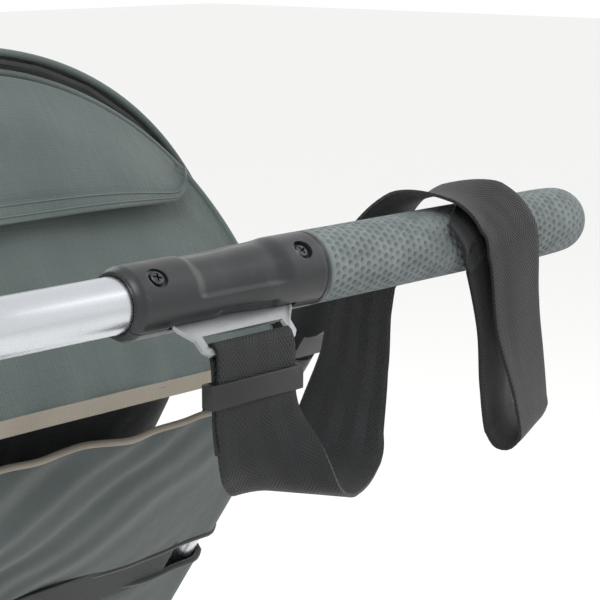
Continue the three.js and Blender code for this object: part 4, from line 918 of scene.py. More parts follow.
@dataclass
class Coupling:
    """Two-part clamp on the cross bar that carries the strap's bracket."""

    centre: float = -0.061
    half: float = 0.059
    bore: float = 0.0128
    bead: float = 0.0149  # radius at its left end
    left: float = 0.0164
    right: float = 0.0175
    screw_at: float = 0.0445
    counterbore: float = 0.005
    counterbore_floor: float = 0.0146
    head_radius: float = 0.0034
    head_height: float = 0.0019
    saddle: float = 0.0017  # depth of the recess between the two bosses
    body: str = "push_bar"
    out: Vector = field(default_factory=lambda: Vector((0.0, -1.0, 1.0)).normalized())

    @property
    def origin(self) -> Vector:
        """Middle of the coupling, on the bar's axis."""
        return BAR_CENTRE + Vector((self.centre, 0.0, 0.0))

    def outline(self) -> list[tuple[float, float]]:
        """Section of the shell from its left end, along the outside and back through the bore."""
        stations = [(-self.half, self.bead - 0.0006), (-self.half + 0.0006, self.bead),
                    (-self.half + 0.0035, self.left)]
        count = 58
        for step in range(count + 1):
            x = -self.half + 0.005 + (2 * self.half - 0.0085) * step / count
            share = min(max((x + 0.006) / 0.03, 0.0), 1.0)
            stations.append((x, self.left + (self.right - self.left) * share * share * (3 - 2 * share)))
        stations += [(self.half - 0.0032, self.right - 0.0004), (self.half - 0.0028, self.right - 0.0004),
                     (self.half - 0.0025, self.right), (self.half - 0.0008, self.right),
                     (self.half, self.right - 0.0008)]
        return [*stations, (self.half, self.bore), (-self.half, self.bore)]

    def recess(self, x: float, turn: float) -> float:
        """Depth of the saddle at a place along it and an angle down from its outward axis."""

        def ramp(low: float, high: float, value: float) -> float:
            """Smooth step from 0 at low to 1 at high."""
            share = min(max((value - low) / (high - low), 0.0), 1.0)
            return share * share * (3 - 2 * share)

        along = ramp(-0.0235, -0.0205, x) * (1 - ramp(0.024, 0.0345, x))
        round_it = ramp(-80.0, -62.0, turn) * (1 - ramp(40.0, 47.0, turn))
        ledge = (0.6 * ramp(0.0, 0.001, 0.5 - abs(x - 0.008) / 0.034) * ramp(70.0, 74.0, turn)
                 * (1 - ramp(84.0, 88.0, turn)))
        return self.saddle * (along * round_it + ledge)

    def shells(self) -> None:
        """The rear and front halves, cut from one spun body."""
        down = Vector((0.0, -1.0, -1.0)).normalized()
        body = spun("coupling_blank", self.outline(), self.origin, 144)
        for vertex in body.data.vertices:
            place = vertex.co - self.origin
            reach = Vector((0.0, place.y, place.z))
            if reach.length > self.bore + 0.001:
                turn = math.degrees(math.atan2(reach.dot(down), reach.dot(self.out)))
                vertex.co -= reach.normalized() * self.recess(place.x, turn)
        turned = Matrix.Rotation(math.radians(45), 3, "X")
        cutters = [block("plate_room", self.origin + 0.026 * down, (0.078, 0.026, 0.0026), turned)]
        for side in (-1, 1):
            foot = self.origin + Vector((side * self.screw_at, 0.0, 0.0))
            floor = foot + self.counterbore_floor * self.out
            cutters.append(rod("counterbore", floor, foot + 0.03 * self.out, self.counterbore, 40))
        cut(body, cutters)
        halves = (("coupling_rear", 1.0, "coupling_rear_shell"),
                  ("coupling_front", -1.0, "coupling_front_shell"))
        for name, side, node in halves:
            half = bpy.data.objects.new(name, body.data.copy())
            bpy.context.scene.collection.objects.link(half)
            with editing(half):
                bpy.ops.mesh.select_all(action="SELECT")
                bpy.ops.mesh.bisect(plane_co=self.origin + side * 0.00018 * self.out,
                                    plane_no=side * self.out, use_fill=True, clear_inner=True)
            mend(half)
            round_edges(half, 0.00035, 2, 38.0)
            smoothed(half, 42.0)
            dress(half, Material.CHARCOAL, Slot.CHARCOAL, self.body, node)
        bpy.data.objects.remove(body)

    def screw(self, name: str, side: int, node: str) -> None:
        """Pan-head screw with a cross recess, in its counterbore."""
        foot = self.origin + Vector((side * self.screw_at, 0.0, 0.0)) + self.counterbore_floor * self.out
        piece = rod(name, foot - 0.0015 * self.out, foot + self.head_height * self.out, self.head_radius, 40)
        round_edges(piece, 0.0009, 4, 60.0)
        turn = Matrix.Rotation(math.radians(45), 3, "X") @ Matrix.Rotation(math.radians(22 * side), 3, "Z")
        tip = foot + (self.head_height - 0.0001) * self.out
        cut(piece, [block("recess", tip, (0.0042, 0.0009, 0.0022), turn),
                    block("recess", tip, (0.0009, 0.0042, 0.0022), turn)])
        smoothed(piece, 35.0)
        dress(piece, Material.ZINC, Slot.STEEL, self.body, node)

    def build(self) -> None:
        """Builds the shells, screws and bracket."""
        self.shells()
        self.screw("coupling_screw_left", -1, "coupling_screw_1")
        self.screw("coupling_screw_right", 1, "coupling_screw_2")
        dress(refined("strap_bracket", 0.0004), Material.PLATE, Slot.PLATE, self.body, "strap_bracket")


@dataclass
class WristStrap:
    """Seat-belt webbing, folded round the bracket and looped over the right grip."""

    width: float = 0.048
    thickness: float = 0.0016
    rows: int = 300
    stitch_radius: float = 0.0003
    body: str = "push_bar"

    def around_grip(self, x: float, reach: float, degrees: float) -> Vector:
        """A point about the grip's axis, in millimetres; 0 degrees is ahead of it, 90 above."""
        angle = math.radians(degrees)
        return Vector((x, reach * math.cos(angle), reach * math.sin(angle)))

    def line(self) -> tuple[list[Vector], list[Vector]]:
        """The webbing's centre line from its sewn end, round the bracket, to the end of its loop.

        Returns:
            Points on the line, and the direction of the webbing's width at each of them.
        """
        loop, inner = 24.0, 21.0
        level = (1, 0, 0)
        fold = [(-62, -25.0, -66), (-63, -24.7, -54), (-63, -24.7, -41), (-62, -23.4, -31), (-61, -21.3, -25),
                (-61, -19.9, -21.6), (-61, -20.6, -19.6), (-61, -23.2, -19.4), (-61, -25.6, -23.4),
                (-62, -27, -32), (-63, -27.3, -41)]
        bight = [((-62, -28, -58), (0.99, -0.1, -0.04)), ((-56, -30, -77), (0.88, -0.44, -0.12)),
                 ((-40, -27, -93), (0.66, -0.74, -0.08)), ((-12, -13, -102), (0.42, -0.9, 0)),
                 ((24, 6, -99), (0.5, -0.85, -0.1)), ((45, 17, -83), (0.85, -0.4, -0.3)),
                 ((59, 22, -60), (0.96, -0.1, -0.26)), ((68, 26, -34), (0.96, 0, -0.26))]
        over = [(77, loop + 1, -5, (0.93, 0, -0.36)), (87, loop, 45, (0.8, 0.42, -0.42)),
                (103, loop, 90, (0.7, 0.7, 0)),
                (118, loop, 135, (0.9, 0.32, 0.32)), (126, loop + 1, 180, (0.98, 0.1, 0.2))]
        hem = (0.94, 0.33, 0.08)
        fall = [((132, -25.5, -40), (0.97, 0.15, 0.15)), ((140, -27, -72), (0.95, 0.28, 0.1)),
                ((145, -27.5, -94), hem),
                ((146, -26, -101), hem), ((145, -22.5, -106), hem), ((143.5, -18, -107.5), hem),
                ((142, -13.5, -106), hem), ((140.5, -10.5, -101), hem), ((139, -9.5, -94), hem),
                ((134, -12.5, -72), (0.95, 0.28, 0.1)), ((126, -18.5, -40), (0.97, 0.15, 0.15))]
        under = [(117, inner + 1, 196, (0.97, 0, 0.24)), (113, inner, 176, (0.97, 0, 0.24)),
                 (109, inner, 156, (0.95, 0.1, 0.28)), (104, inner, 136, (0.92, 0.25, 0.3)),
                 (99, inner, 116, (0.85, 0.45, 0.25))]
        stations = [(point, level) for point in fold] + bight
        stations += [(self.around_grip(x, reach, angle), side) for x, reach, angle, side in over]
        stations += fall
        stations += [(self.around_grip(x, reach, angle), side) for x, reach, angle, side in under]
        points = [BAR_CENTRE + Vector(point) * MM for point, _ in stations]
        return points, [Vector(side).normalized() for _, side in stations]

    def stitches(self, name: str, route: Route, at: float, span: float, face: float,
                 slant: float) -> bpy.types.Object:
        """A zigzag of thread across the webbing.

        Args:
            name: Name of the piece.
            route: The webbing's line.
            at: Distance along it.
            span: Length of one zigzag along the webbing.
            face: 1 or -1, the side of the webbing it lies on.
            slant: Extra distance along from one selvedge to the other.

        Returns:
            The dressed piece.
        """
        count = 30
        points = []
        for index in range(count + 1):
            across = (index / count - 0.5) * (self.width - 0.006)
            place = at + (span if index % 2 else 0.0) + slant * index / count
            point, side, out = route.at(place / route.length)
            points.append(point + across * side + face * (self.thickness / 2 + 0.0001) * out)
        piece = round_tube(name, points, self.stitch_radius, 0.00012, 6)
        return dress(piece, Material.THREAD, Slot.WEBBING, self.body)

    def build(self) -> None:
        """Builds the webbing, its stitching and its slide."""
        corners, sides = self.line()
        points = curve_through(corners, 420)
        marks = [0]
        for corner in corners[1:]:
            ahead = points[marks[-1]:marks[-1] + 60]
            marks.append(marks[-1] + min(range(len(ahead)), key=lambda index: (ahead[index] - corner).length))
        across = []
        for low, high, before, after in zip(marks, marks[1:], sides, sides[1:]):
            across += [before.lerp(after, (index - low) / (high - low)) for index in range(low, high)]
        across += [sides[-1]] * (len(points) - len(across))
        route = Route(points, across)

        def ripple(across: float, along: float) -> Vector:
            """Slight unevenness of the free length."""
            return Vector((0.0, 0.0, 0.0007 * wave(along * route.length, 0.05, across * 2.0) * (along > 0.2)))

        strap = ribbon("wrist_strap_webbing", route, self.width, self.thickness, self.rows, 16, ripple)
        sewn = [self.stitches("strap_stitching_upper", route, 0.0352, 0.0042, -1.0, 0.0),
                self.stitches("strap_stitching_lower", route, 0.0060, 0.0045, 1.0, 0.0),
                self.stitches("loop_stitching", route, route.length - 0.022, 0.005, -1.0, 0.0)]
        dress(strap, Material.STRAP, Slot.WEBBING, self.body, "wrist_strap")
        dress(refined("strap_slide", 0.0009), Material.BLACK, Slot.BLACK, self.body, "strap_slide")
        LOG.info("wrist strap is %.0f mm of webbing", route.length / MM)


# ---------------------------------------------------------------- hood


@dataclass
class Hood:
    """Cloth hood over two bows, with a rear curtain and a free flap."""

    height: float = 0.192
    half: float = 0.206
    rear_angle: float = 78.0
    middle_angle: float = 44.0
    front_angle: float = 10.0
    step: float = 0.005
    cloth: float = 0.0012
    edge_back: float = 0.053
    edge_drop: float = 0.005
    flap_half: float = 0.158
    flap_bottom: float = 0.093
    fullness: float = 2.3

    def arch(self, share: float, crown: float, half: float, lowest: float) -> tuple[float, float]:
        """Width and height at a share of the way over the hood's arch."""
        start = math.asin(min((lowest / crown) ** (self.fullness / 2), 1.0))
        angle = math.pi - start - share * (math.pi - 2 * start)
        power = 2 / self.fullness
        return (math.copysign(abs(math.cos(angle)) ** power, math.cos(angle)) * half,
                max(math.sin(angle), 0.0) ** power * crown)

    def over(self, share: float, degrees: float, outward: float, lowest: float) -> Vector:
        """A point on the hood at an angle about its axis, outward from the innermost layer."""
        x, height = self.arch(share, self.height + outward, self.half + outward, lowest)
        angle = math.radians(degrees)
        return HOOD_AXIS + Vector((x, height * math.cos(angle), height * math.sin(angle)))

    def panel(self, name: str, layer: int, start: float, end: float, body: str, node: str) -> None:
        """A cloth panel between two angles, drawn in a little between its bows.

        Args:
            name: Name of the piece.
            layer: How many steps out from the rear bow it lies.
            start: Its front angle in degrees.
            end: Its rear angle.
            body: Frame body it moves with.
            node: Frame node that it replaces.
        """

        def place(across: float, along: float) -> Vector:
            """A point on the panel."""
            sag = 0.0028 * math.sin(math.pi * along) * math.sin(math.pi * across) ** 0.5
            pull = math.sin(math.pi * along) * (0.35 + 1.0 * abs(2 * across - 1) ** 2)
            folds = 0.0014 * pull * wave(across * 0.7 + 0.12 * along, 0.055, layer + 3.0)
            outward = layer * self.step + 0.0012 - sag + folds
            return self.over(across, start + (end - start) * along, outward, 0.019)

        width = 0.62
        length = self.height * math.radians(end - start)
        piece = cloth_grid(name, 120, 30, place, (width, length))
        thicken(piece, self.cloth)
        smoothed(piece, 60.0)
        dress(piece, Material.HOOD, Slot.HOOD, body, node)
        for label, angle in (("front", start), ("rear", end)):
            points = [self.over(index / 90, angle, layer * self.step + 0.0014, 0.019) for index in range(91)]
            hem = round_tube(f"{name}_{label}_binding", points, 0.0021, 0.0008, 12)
            dress(hem, Material.PIPING if label == "front" else Material.HOOD, Slot.HOOD, body)

    @property
    def lean(self) -> float:
        """Angle of the rear curtain from upright."""
        crown = (self.height - 0.006) * Vector((math.cos(math.radians(self.rear_angle)),
                                                math.sin(math.radians(self.rear_angle))))
        return math.atan2(crown.x + self.edge_back, crown.y + self.edge_drop)

    @property
    def rise(self) -> float:
        """Height of the rear curtain along its lean."""
        crown = (self.height - 0.006) * math.cos(math.radians(self.rear_angle)) + self.edge_back
        return crown / math.sin(self.lean)

    def behind(self, x: float, up: float, back: float) -> Vector:
        """A point on the rear curtain: across, up its slope and out of its back."""
        lean = self.lean
        return (HOOD_AXIS + Vector((x, -self.edge_back, -self.edge_drop))
                + up * Vector((0.0, math.sin(lean), math.cos(lean)))
                + back * Vector((0.0, -math.cos(lean), math.sin(lean))))

    def top_of_curtain(self, x: float, inset: float) -> float:
        """Height of the curtain's arch at a width."""
        share = min(abs(x) / (self.half - 0.006 - inset), 1.0)
        return (self.rise - inset) * (1 - share**self.fullness) ** (1 / self.fullness)

    def curtain(self) -> None:
        """Rear curtain with gathers below the flap, and binding along its lower edge."""
        half = self.half - 0.0065

        def place(across: float, along: float) -> Vector:
            """A point on the curtain."""
            x = half * math.sin((across - 0.5) * math.pi)
            top = self.top_of_curtain(x, 0.0)
            low = 1 - min(along * 1.6, 1.0)
            gather = 0.0022 * low * wave(x, 0.021, 5.0) * (1 - abs(x / half) ** 4)
            belly = 0.004 * math.sin(math.pi * min(along * 1.15, 1.0)) * (1 - (x / half) ** 2)
            drag = 0.0016 * wave(x + 0.6 * along * top, 0.07, 9.0) * math.sin(math.pi * along)
            return self.behind(x, along * top, 0.0012 + gather + belly * 0.5 + drag)

        piece = cloth_grid("hood_rear_cloth", 160, 48, place, (2 * half, self.rise))
        mend(piece, 2e-5)
        thicken(piece, self.cloth)
        smoothed(piece, 60.0)
        dress(piece, Material.HOOD, Slot.HOOD, "upper_frame", "hood_rear_panel")
        edge = [self.behind(half * (index / 60 * 2 - 1), -0.001,
                            0.0012 + 0.0012 * wave(index / 60, 0.14, 2.0)) for index in range(61)]
        tape = ribbon("curtain_binding", Route(edge, Vector((0.0, 0.0, 1.0))), 0.011, 0.0026, 120, 8)
        dress(tape, Material.PIPING, Slot.HOOD, "upper_frame")
        widths = [half * math.sin((index / 100 - 0.5) * math.pi) for index in range(101)]
        seam = [self.behind(x * 1.004, self.top_of_curtain(x, 0.0) + 0.001, 0.001) for x in widths]
        welt = round_tube("curtain_welt", seam, 0.0024, 0.001, 12)
        dress(welt, Material.HOOD, Slot.HOOD, "upper_frame")

    def flap_point(self, across: float, along: float, extra: float = 0.0) -> Vector:
        """A point on the free flap, from its lower hem up to the hood's crown seam."""
        low = (self.flap_bottom + self.edge_drop) / math.cos(self.lean)
        corner = 0.020
        x = self.flap_half * (2 * across - 1)
        inset = max(abs(x) - (self.flap_half - corner), 0.0)
        bottom = low + corner - math.sqrt(max(corner**2 - inset**2, 0.0)) + 0.0025 * wave(x, 0.16, 11.0)
        top = self.top_of_curtain(x, 0.004)
        bottom = min(bottom, top - 0.002)
        free = (1 - along) ** 1.5
        flare = 0.0095 * free + 0.0032 * free * wave(x, 0.075, 13.0)
        wrinkle = 0.0013 * wave(x - 0.5 * along * 0.1, 0.045, 17.0 + along * 0.8) * math.sin(math.pi * along)
        billow = 0.006 * math.sin(math.pi * along) * (1 - (x / self.flap_half) ** 2)
        return self.behind(x, bottom + (top - bottom) * along, 0.0062 + flare + wrinkle + billow + extra)

    def flap(self) -> None:
        """The flap that hangs over the rear window, with a turned hem and two rows of stitching."""
        piece = cloth_grid("hood_flap_cloth", 130, 44, self.flap_point, (2 * self.flap_half, 0.105))
        thicken(piece, self.cloth * 1.3)
        smoothed(piece, 60.0)
        dress(piece, Material.HOOD, Slot.HOOD, "upper_frame", "hood_flap")
        hem = cloth_grid("flap_hem", 130, 5, lambda u, v: self.flap_point(u, v * 0.13, 0.0016),
                         (2 * self.flap_half, 0.013))
        thicken(hem, 0.0016)
        smoothed(hem, 60.0)
        dress(hem, Material.HOOD, Slot.HOOD, "upper_frame")
        for label, height in (("outer", 0.035), ("inner", 0.105)):
            points = [self.flap_point(0.03 + 0.94 * index / 220, height,
                                      0.0026 + (0.0003 if index % 2 else 0.0)) for index in range(221)]
            row = round_tube(f"flap_stitching_{label}", points, 0.0004, 0.00015, 6)
            dress(row, Material.SEAT_THREAD, Slot.HOOD, "upper_frame")

    def build(self) -> None:
        """Builds the panels, curtain, flap and bows."""
        self.panel("hood_middle_cloth", 1, self.middle_angle, self.rear_angle + 2.0, "hood_middle",
                   "hood_mid_panel")
        self.panel("hood_front_cloth", 2, self.front_angle + 3.2, self.middle_angle + 2.0, "hood_front",
                   "hood_front_panel")
        self.curtain()
        self.flap()
        dress(refined("hood_rear_bow", 0.0006), Material.BLACK, Slot.BLACK, "upper_frame", "hood_rear_bow")
        dress(refined("hood_front_bow", 0.0006), Material.BLACK, Slot.BLACK, "hood_front", "hood_front_bow")


# ---------------------------------------------------------------- upper frame and seat back


@dataclass
class UpperFrame:
    """Side tubes, their joints and the cloth slung between them."""

    sling_low: float = 0.100
    sling_high: float = 0.430
    window_low: float = 0.256
    window_high: float = 0.292
    cross_at: float = 0.274
    cross_radius: float = 0.010
    body: str = "upper_frame"

    def tubes(self) -> None:
        """Side tubes and the cross tube."""
        for side, name in ((-1, "left"), (1, "right")):
            ends = [upper_point(side * FRAME_HALF, 0.0443), upper_point(side * FRAME_HALF, 0.4837)]
            tube = round_tube(f"side_tube_{name}", bent(ends, 0.0), TUBE_RADIUS, sides=48)
            dress(tube, Material.TUBE, Slot.TUBE, self.body, f"upper_tube_{name}")
        reach = FRAME_HALF - TUBE_RADIUS - 0.0003
        ends = [upper_point(-reach, self.cross_at), upper_point(reach, self.cross_at)]
        tube = round_tube("cross_tube", bent(ends, 0.0), self.cross_radius, sides=40)
        dress(tube, Material.TUBE, Slot.TUBE, self.body, "upper_cross_tube")

    def wrap(self, around: float) -> tuple[float, float]:
        """The sling's section at a share of the way round: across, and out towards the child."""
        corners = [(0.206, 0.0150), (0.222, 0.0162), (0.243, 0.0160), (0.2515, 0.0110), (0.2538, 0.0),
                   (0.2515, -0.0110), (0.243, -0.0160), (0.222, -0.0166)]
        right = [Vector((x, out, 0.0)) for x, out in corners]
        section = [Vector((-point.x, point.y, 0.0)) for point in right]
        section += [Vector((x / 10 * 0.2, -0.0168, 0.0)) for x in range(-10, 11)] + right[::-1]
        point = Route(section, Vector((0.0, 0.0, 1.0))).at(around)[0]
        return point.x, point.y

    def sling(self) -> None:
        """Seat-back cloth in two lengths, slack between the tubes with folds that run to its corners."""
        sections = [self.wrap(index / 150) for index in range(151)]
        spans = (("upper", self.window_high - 0.004, self.sling_high, 3.0),
                 ("lower", self.sling_low, self.window_low + 0.004, 8.0))
        for name, low, high, seed in spans:

            def place(across: float, along: float) -> Vector:
                """A point on the sling."""
                x, out = sections[round(across * 150)]
                inside = max(0.0, 1 - (abs(x) / 0.222) ** 4) if out < 0 else 0.0
                slack = 0.005 * inside * math.sin(math.pi * along) ** 0.7
                slope = 0.55 if x > 0 else -0.55
                folds = 0.0052 * inside * wave(along * (high - low) + slope * x, 0.062, seed)
                ripple = 0.0018 * inside * wave(along * (high - low) - 1.4 * slope * x, 0.027, seed + 5.0)
                edge = 0.0014 * wave(x, 0.05, seed + 2.0) * (1 - along if along < 0.5 else along)
                return upper_point(x, low + (high - low) * along + edge, out - slack + folds + ripple)

            cloth = cloth_grid(f"sling_{name}_cloth", 150, 46, place, (0.62, high - low))
            thicken(cloth, 0.0012)
            smoothed(cloth, 60.0)
            nodes = ("seat_back_sling",) if name == "upper" else ()
            dress(cloth, Material.SEAT, Slot.SEAT, self.body, *nodes)
            for end in (0.0, 1.0):
                points = [place(index / 150, end) for index in range(151)]
                hem = round_tube(f"sling_{name}_hem_{'top' if end else 'bottom'}", points, 0.0022, 0.0008, 10)
                dress(hem, Material.PIPING if end and name == "upper" else Material.PAD, Slot.SEAT, self.body)
        middle = (self.window_low + self.window_high) / 2
        line = Route([upper_point(-0.2085 + 0.417 * index / 60, middle,
                                  -0.0172 - 0.004 * math.sin(math.pi * index / 60)) for index in range(61)],
                     UP_TUBE)
        band = ribbon("sling_back_band", line, 0.040, 0.0018, 90, 12)
        dress(band, Material.HARNESS, Slot.WEBBING, self.body)

    def fittings(self) -> None:
        """Housings, buttons, hubs, hood mounts and fold ears, with rounded edges."""
        for name in ("left", "right"):
            button = f"pivot_button_{name}"
            for node, width, body in (
                    (f"pivot_housing_{name}", 0.0012, self.body), (button, 0.0006, button),
                    (f"handle_hub_{name}", 0.0008, "push_bar"), (f"hood_mount_{name}", 0.0007, self.body),
                    (f"fold_ear_{name}", 0.0008, self.body)):
                material = Material.CHARCOAL if node == button else Material.BLACK
                slot = Slot.CHARCOAL if node == button else Slot.BLACK
                dress(refined(node, width), material, slot, body, node)

    def build(self) -> None:
        """Builds the tubes, sling and fittings."""
        self.tubes()
        self.sling()
        self.fittings()


# ---------------------------------------------------------------- seat


@dataclass
class Seat:
    """Padded back and cushion, harness, buckle and the rail under them."""

    slope: float = math.radians(15.5)
    rail_half: float = 0.165
    rail_length: float = 0.340
    rail_radius: float = 0.009
    rail_drop: float = 0.120
    cushion_half: float = 0.150
    cushion_from: float = 0.064
    cushion_to: float = 0.336
    cushion_low: float = 0.011
    cushion_thick: float = 0.028
    pad_half: float = 0.165
    pad_low: float = 0.015
    pad_high: float = 0.400
    pad_rear: float = 0.020
    pad_thick: float = 0.030
    channels: int = 4

    def seat_point(self, x: float, along: float, up: float) -> Vector:
        """A point on the seat: across, forward along its slope, and up off the rail's plane."""
        leg = REAR_AXLE - FOLD_AXIS
        start = FOLD_AXIS + leg * (self.rail_drop / -leg.z)
        forward = Vector((0.0, math.cos(self.slope), math.sin(self.slope)))
        normal = Vector((0.0, -math.sin(self.slope), math.cos(self.slope)))
        return Vector((x, start.y, start.z)) + along * forward + up * normal

    def rail(self) -> None:
        """Bent rail that carries the cushion."""
        corners = [self.seat_point(x, along, 0.0) for x, along in (
            (-FRAME_HALF + 0.01, 0.0), (-self.rail_half, 0.0), (-self.rail_half, self.rail_length),
            (self.rail_half, self.rail_length), (self.rail_half, 0.0), (FRAME_HALF - 0.01, 0.0))]
        tube = round_tube("seat_rail_tube", bent(corners, 0.034, 10), self.rail_radius, sides=36)
        dress(tube, Material.TUBE, Slot.TUBE, "chassis", "seat_rail")

    def puffed(self, name: str, place: Callable[[float, float, float], Vector], half: float, low: float,
               high: float, thick: float, cap: float) -> bpy.types.Object:
        """A padded panel: a rounded slab blown up against its seams, with sewn channels across it.

        Args:
            name: Name of the piece.
            place: Gives a point from across, along and up.
            half: Half its width.
            low: Where it begins along.
            high: Where it ends along.
            thick: Thickness at its edge.
            cap: Most that the blowing may move a point.

        Returns:
            The padded mesh, not yet dressed.
        """
        corner = 0.045
        inset = 0.004

        def slab(across: float, along: float, up: float) -> Vector:
            """A point in the slab, rounded at the corners and thinner at the rim."""
            x = (2 * across - 1) * (half - inset)
            y = low + inset + along * (high - low - 2 * inset)
            dx = max(abs(x) - (half - inset - corner), 0.0)
            dy = max(abs(y - (low + high) / 2) - ((high - low) / 2 - inset - corner), 0.0)
            reach = max(math.hypot(dx, dy) / corner, 1e-6)
            square = max(dx, dy) / corner
            shrink = square / reach if reach > 0 else 1.0
            x -= math.copysign(dx * (1 - shrink), x)
            y -= math.copysign(dy * (1 - shrink), y - (low + high) / 2)
            rim = max(square, 0.0)
            belly = 0.62 + 0.38 * (1 - rim**3)
            seam = 0.0
            for index in range(1, self.channels):
                where = low + (high - low) * index / self.channels
                seam = max(seam, math.exp(-(((y - where) / 0.006) ** 2)) * (abs(x) < half - 0.03))
            middle = thick / 2
            return place(x, y, middle + (up - 0.5) * (thick - 0.006) * belly * (1 - 0.45 * seam * (up > 0.5)))

        top = cloth_grid(f"{name}_top", 44, 52, lambda u, v: slab(u, v, 1.0), (2 * half, high - low))
        under = cloth_grid(f"{name}_under", 44, 52, lambda u, v: slab(u, v, 0.0), (2 * half, high - low))
        pad = joined(name, [top, under])
        with editing(pad) as mesh:
            for edge in mesh.edges:
                edge.select = edge.is_boundary
            bpy.ops.mesh.select_mode(type="EDGE")
            for edge in mesh.edges:
                edge.select_set(edge.is_boundary)
            bpy.ops.mesh.bridge_edge_loops(number_cuts=3, smoothness=0.6, profile_shape_factor=0.25)
        mend(pad)
        self.blow(pad, cap)
        finish_with(pad, "SUBSURF", levels=1, render_levels=1)
        return smoothed(pad, 70.0)

    def blow(self, pad: bpy.types.Object, cap: float) -> None:
        """Runs the cloth with pressure, caps how far each point moves and keeps the result."""
        before = [vertex.co.copy() for vertex in pad.data.vertices]
        activate(pad)
        cloth = pad.modifiers.new("Cloth", "CLOTH")
        cloth.settings.quality = 5
        cloth.settings.use_pressure = True
        cloth.settings.uniform_pressure_force = 3.0
        cloth.settings.effector_weights.gravity = 0.0
        cloth.settings.tension_stiffness = 12.0
        cloth.settings.shear_stiffness = 6.0
        cloth.settings.bending_stiffness = 0.4
        scene = bpy.context.scene
        for number in range(1, 17):
            scene.frame_set(number)
        bpy.ops.object.modifier_apply(modifier=cloth.name)
        scene.frame_set(1)
        for vertex, rest in zip(pad.data.vertices, before):
            moved = vertex.co - rest
            if moved.length > cap:
                vertex.co = rest + moved.normalized() * cap
        LOG.info("%s blown up, at most %.0f mm", pad.name, cap / MM)

    def piping(self, name: str, place: Callable[[float, float, float], Vector], half: float, low: float,
               high: float, up: float) -> bpy.types.Object:
        """A cord of binding round a pad's edge."""
        corner = 0.045
        points = []
        for quarter, (sx, sy) in enumerate(((1, 1), (-1, 1), (-1, -1), (1, -1))):
            for step in range(9):
                angle = (quarter + step / 8) * math.pi / 2
                along = (low + high) / 2 + sy * ((high - low) / 2 - corner) + corner * math.sin(angle)
                points.append(place(sx * (half - corner) + corner * math.cos(angle), along, up))
        points.append(points[0] + (points[1] - points[0]) * 0.2)
        return round_tube(name, curve_through(points, 160), 0.0027, 0.001, 10)

    def pads(self) -> tuple[bpy.types.Object, bpy.types.Object]:
        """The cushion and the back pad with their piping."""

        def back_point(x: float, along: float, up: float) -> Vector:
            """A point on the back pad, up towards the child."""
            return upper_point(x, along, self.pad_rear + up)

        def on_seat(x: float, along: float, up: float) -> Vector:
            """A point on the cushion."""
            return self.seat_point(x, along, self.cushion_low + up)

        cushion = self.puffed("seat_cushion_pad", on_seat, self.cushion_half, self.cushion_from,
                              self.cushion_to, self.cushion_thick, 0.006)
        dress(cushion, Material.PAD, Slot.PAD, "chassis", "seat_cushion")
        back = self.puffed("seat_back_padding", back_point, self.pad_half, self.pad_low, self.pad_high,
                           self.pad_thick, 0.0028)
        dress(back, Material.PAD, Slot.PAD, "seat_back", "seat_back_pad")
        seam = self.piping("cushion_piping", on_seat, self.cushion_half, self.cushion_from, self.cushion_to,
                           self.cushion_thick / 2)
        dress(seam, Material.PIPING, Slot.PAD, "chassis")
        seam = self.piping("back_piping", back_point, self.pad_half, self.pad_low, self.pad_high,
                           self.pad_thick / 2)
        dress(seam, Material.PIPING, Slot.PAD, "seat_back")
        return cushion, back

    def lie_on(self, pad: bpy.types.Object, points: Sequence[Vector], way: Vector,
               lift: float) -> list[Vector]:
        """Drops points onto a pad along a direction, and lifts them a little off it."""
        laid = []
        for point in points:
            hit, spot, _, _ = pad.ray_cast(point - way * 0.08, way)
            laid.append((spot if hit else point) - way * lift)
        return laid

    def harness(self, cushion: bpy.types.Object, back: bpy.types.Object) -> None:
        """Shoulder straps and yoke on the back, crotch strap on the cushion, with their pads."""
        for name, side in (("left", -1), ("right", 1)):
            line = [upper_point(side * 0.0525, 0.330 - 0.210 * step / 40, 0.05) for step in range(41)]
            route = Route(self.lie_on(back, line, -TO_CHILD, 0.0016), Vector((1.0, 0.0, 0.0)))
            strap = ribbon(f"shoulder_strap_{name}", route, 0.025, 0.0018, 80, 6)
            nodes = ["harness_straps"] if side < 0 else []
            dress(strap, Material.HARNESS, Slot.WEBBING, "seat_back", *nodes)
            sleeve = Route(self.lie_on(back, line[2:24], -TO_CHILD, 0.0048), Vector((1.0, 0.0, 0.0)))
            pad = ribbon(f"shoulder_pad_{name}", sleeve, 0.040, 0.006, 40, 8)
            finish_with(pad, "SUBSURF", levels=1, render_levels=1)
            dress(pad, Material.PAD, Slot.PAD, "seat_back")
        line = [upper_point(-0.06 + 0.12 * step / 30, 0.311, 0.05) for step in range(31)]
        route = Route(self.lie_on(back, line, -TO_CHILD, 0.0030), UP_TUBE)
        yoke = ribbon("harness_yoke", route, 0.034, 0.0018, 50, 8)
        dress(yoke, Material.HARNESS, Slot.WEBBING, "seat_back")
        normal = Vector((0.0, -math.sin(self.slope), math.cos(self.slope)))
        line = [self.seat_point(0.0, 0.196 + 0.05 * step / 20, 0.042) for step in range(21)]
        route = Route(self.lie_on(cushion, line, -normal, 0.0014), Vector((1.0, 0.0, 0.0)))
        strap = ribbon("crotch_webbing", route, 0.025, 0.0018, 40, 6)
        dress(strap, Material.HARNESS, Slot.WEBBING, "chassis", "crotch_strap")

    def build(self) -> None:
        """Builds the rail, pads, harness and buckle."""
        self.rail()
        cushion, back = self.pads()
        self.harness(cushion, back)
        dress(refined("harness_buckle", 0.0016), Material.BLACK, Slot.BLACK, "chassis", "harness_buckle")
        dress(refined("buckle_button", 0.0008), Material.RED, Slot.RED, "buckle_button", "buckle_button")


# ---------------------------------------------------------------- lower frame


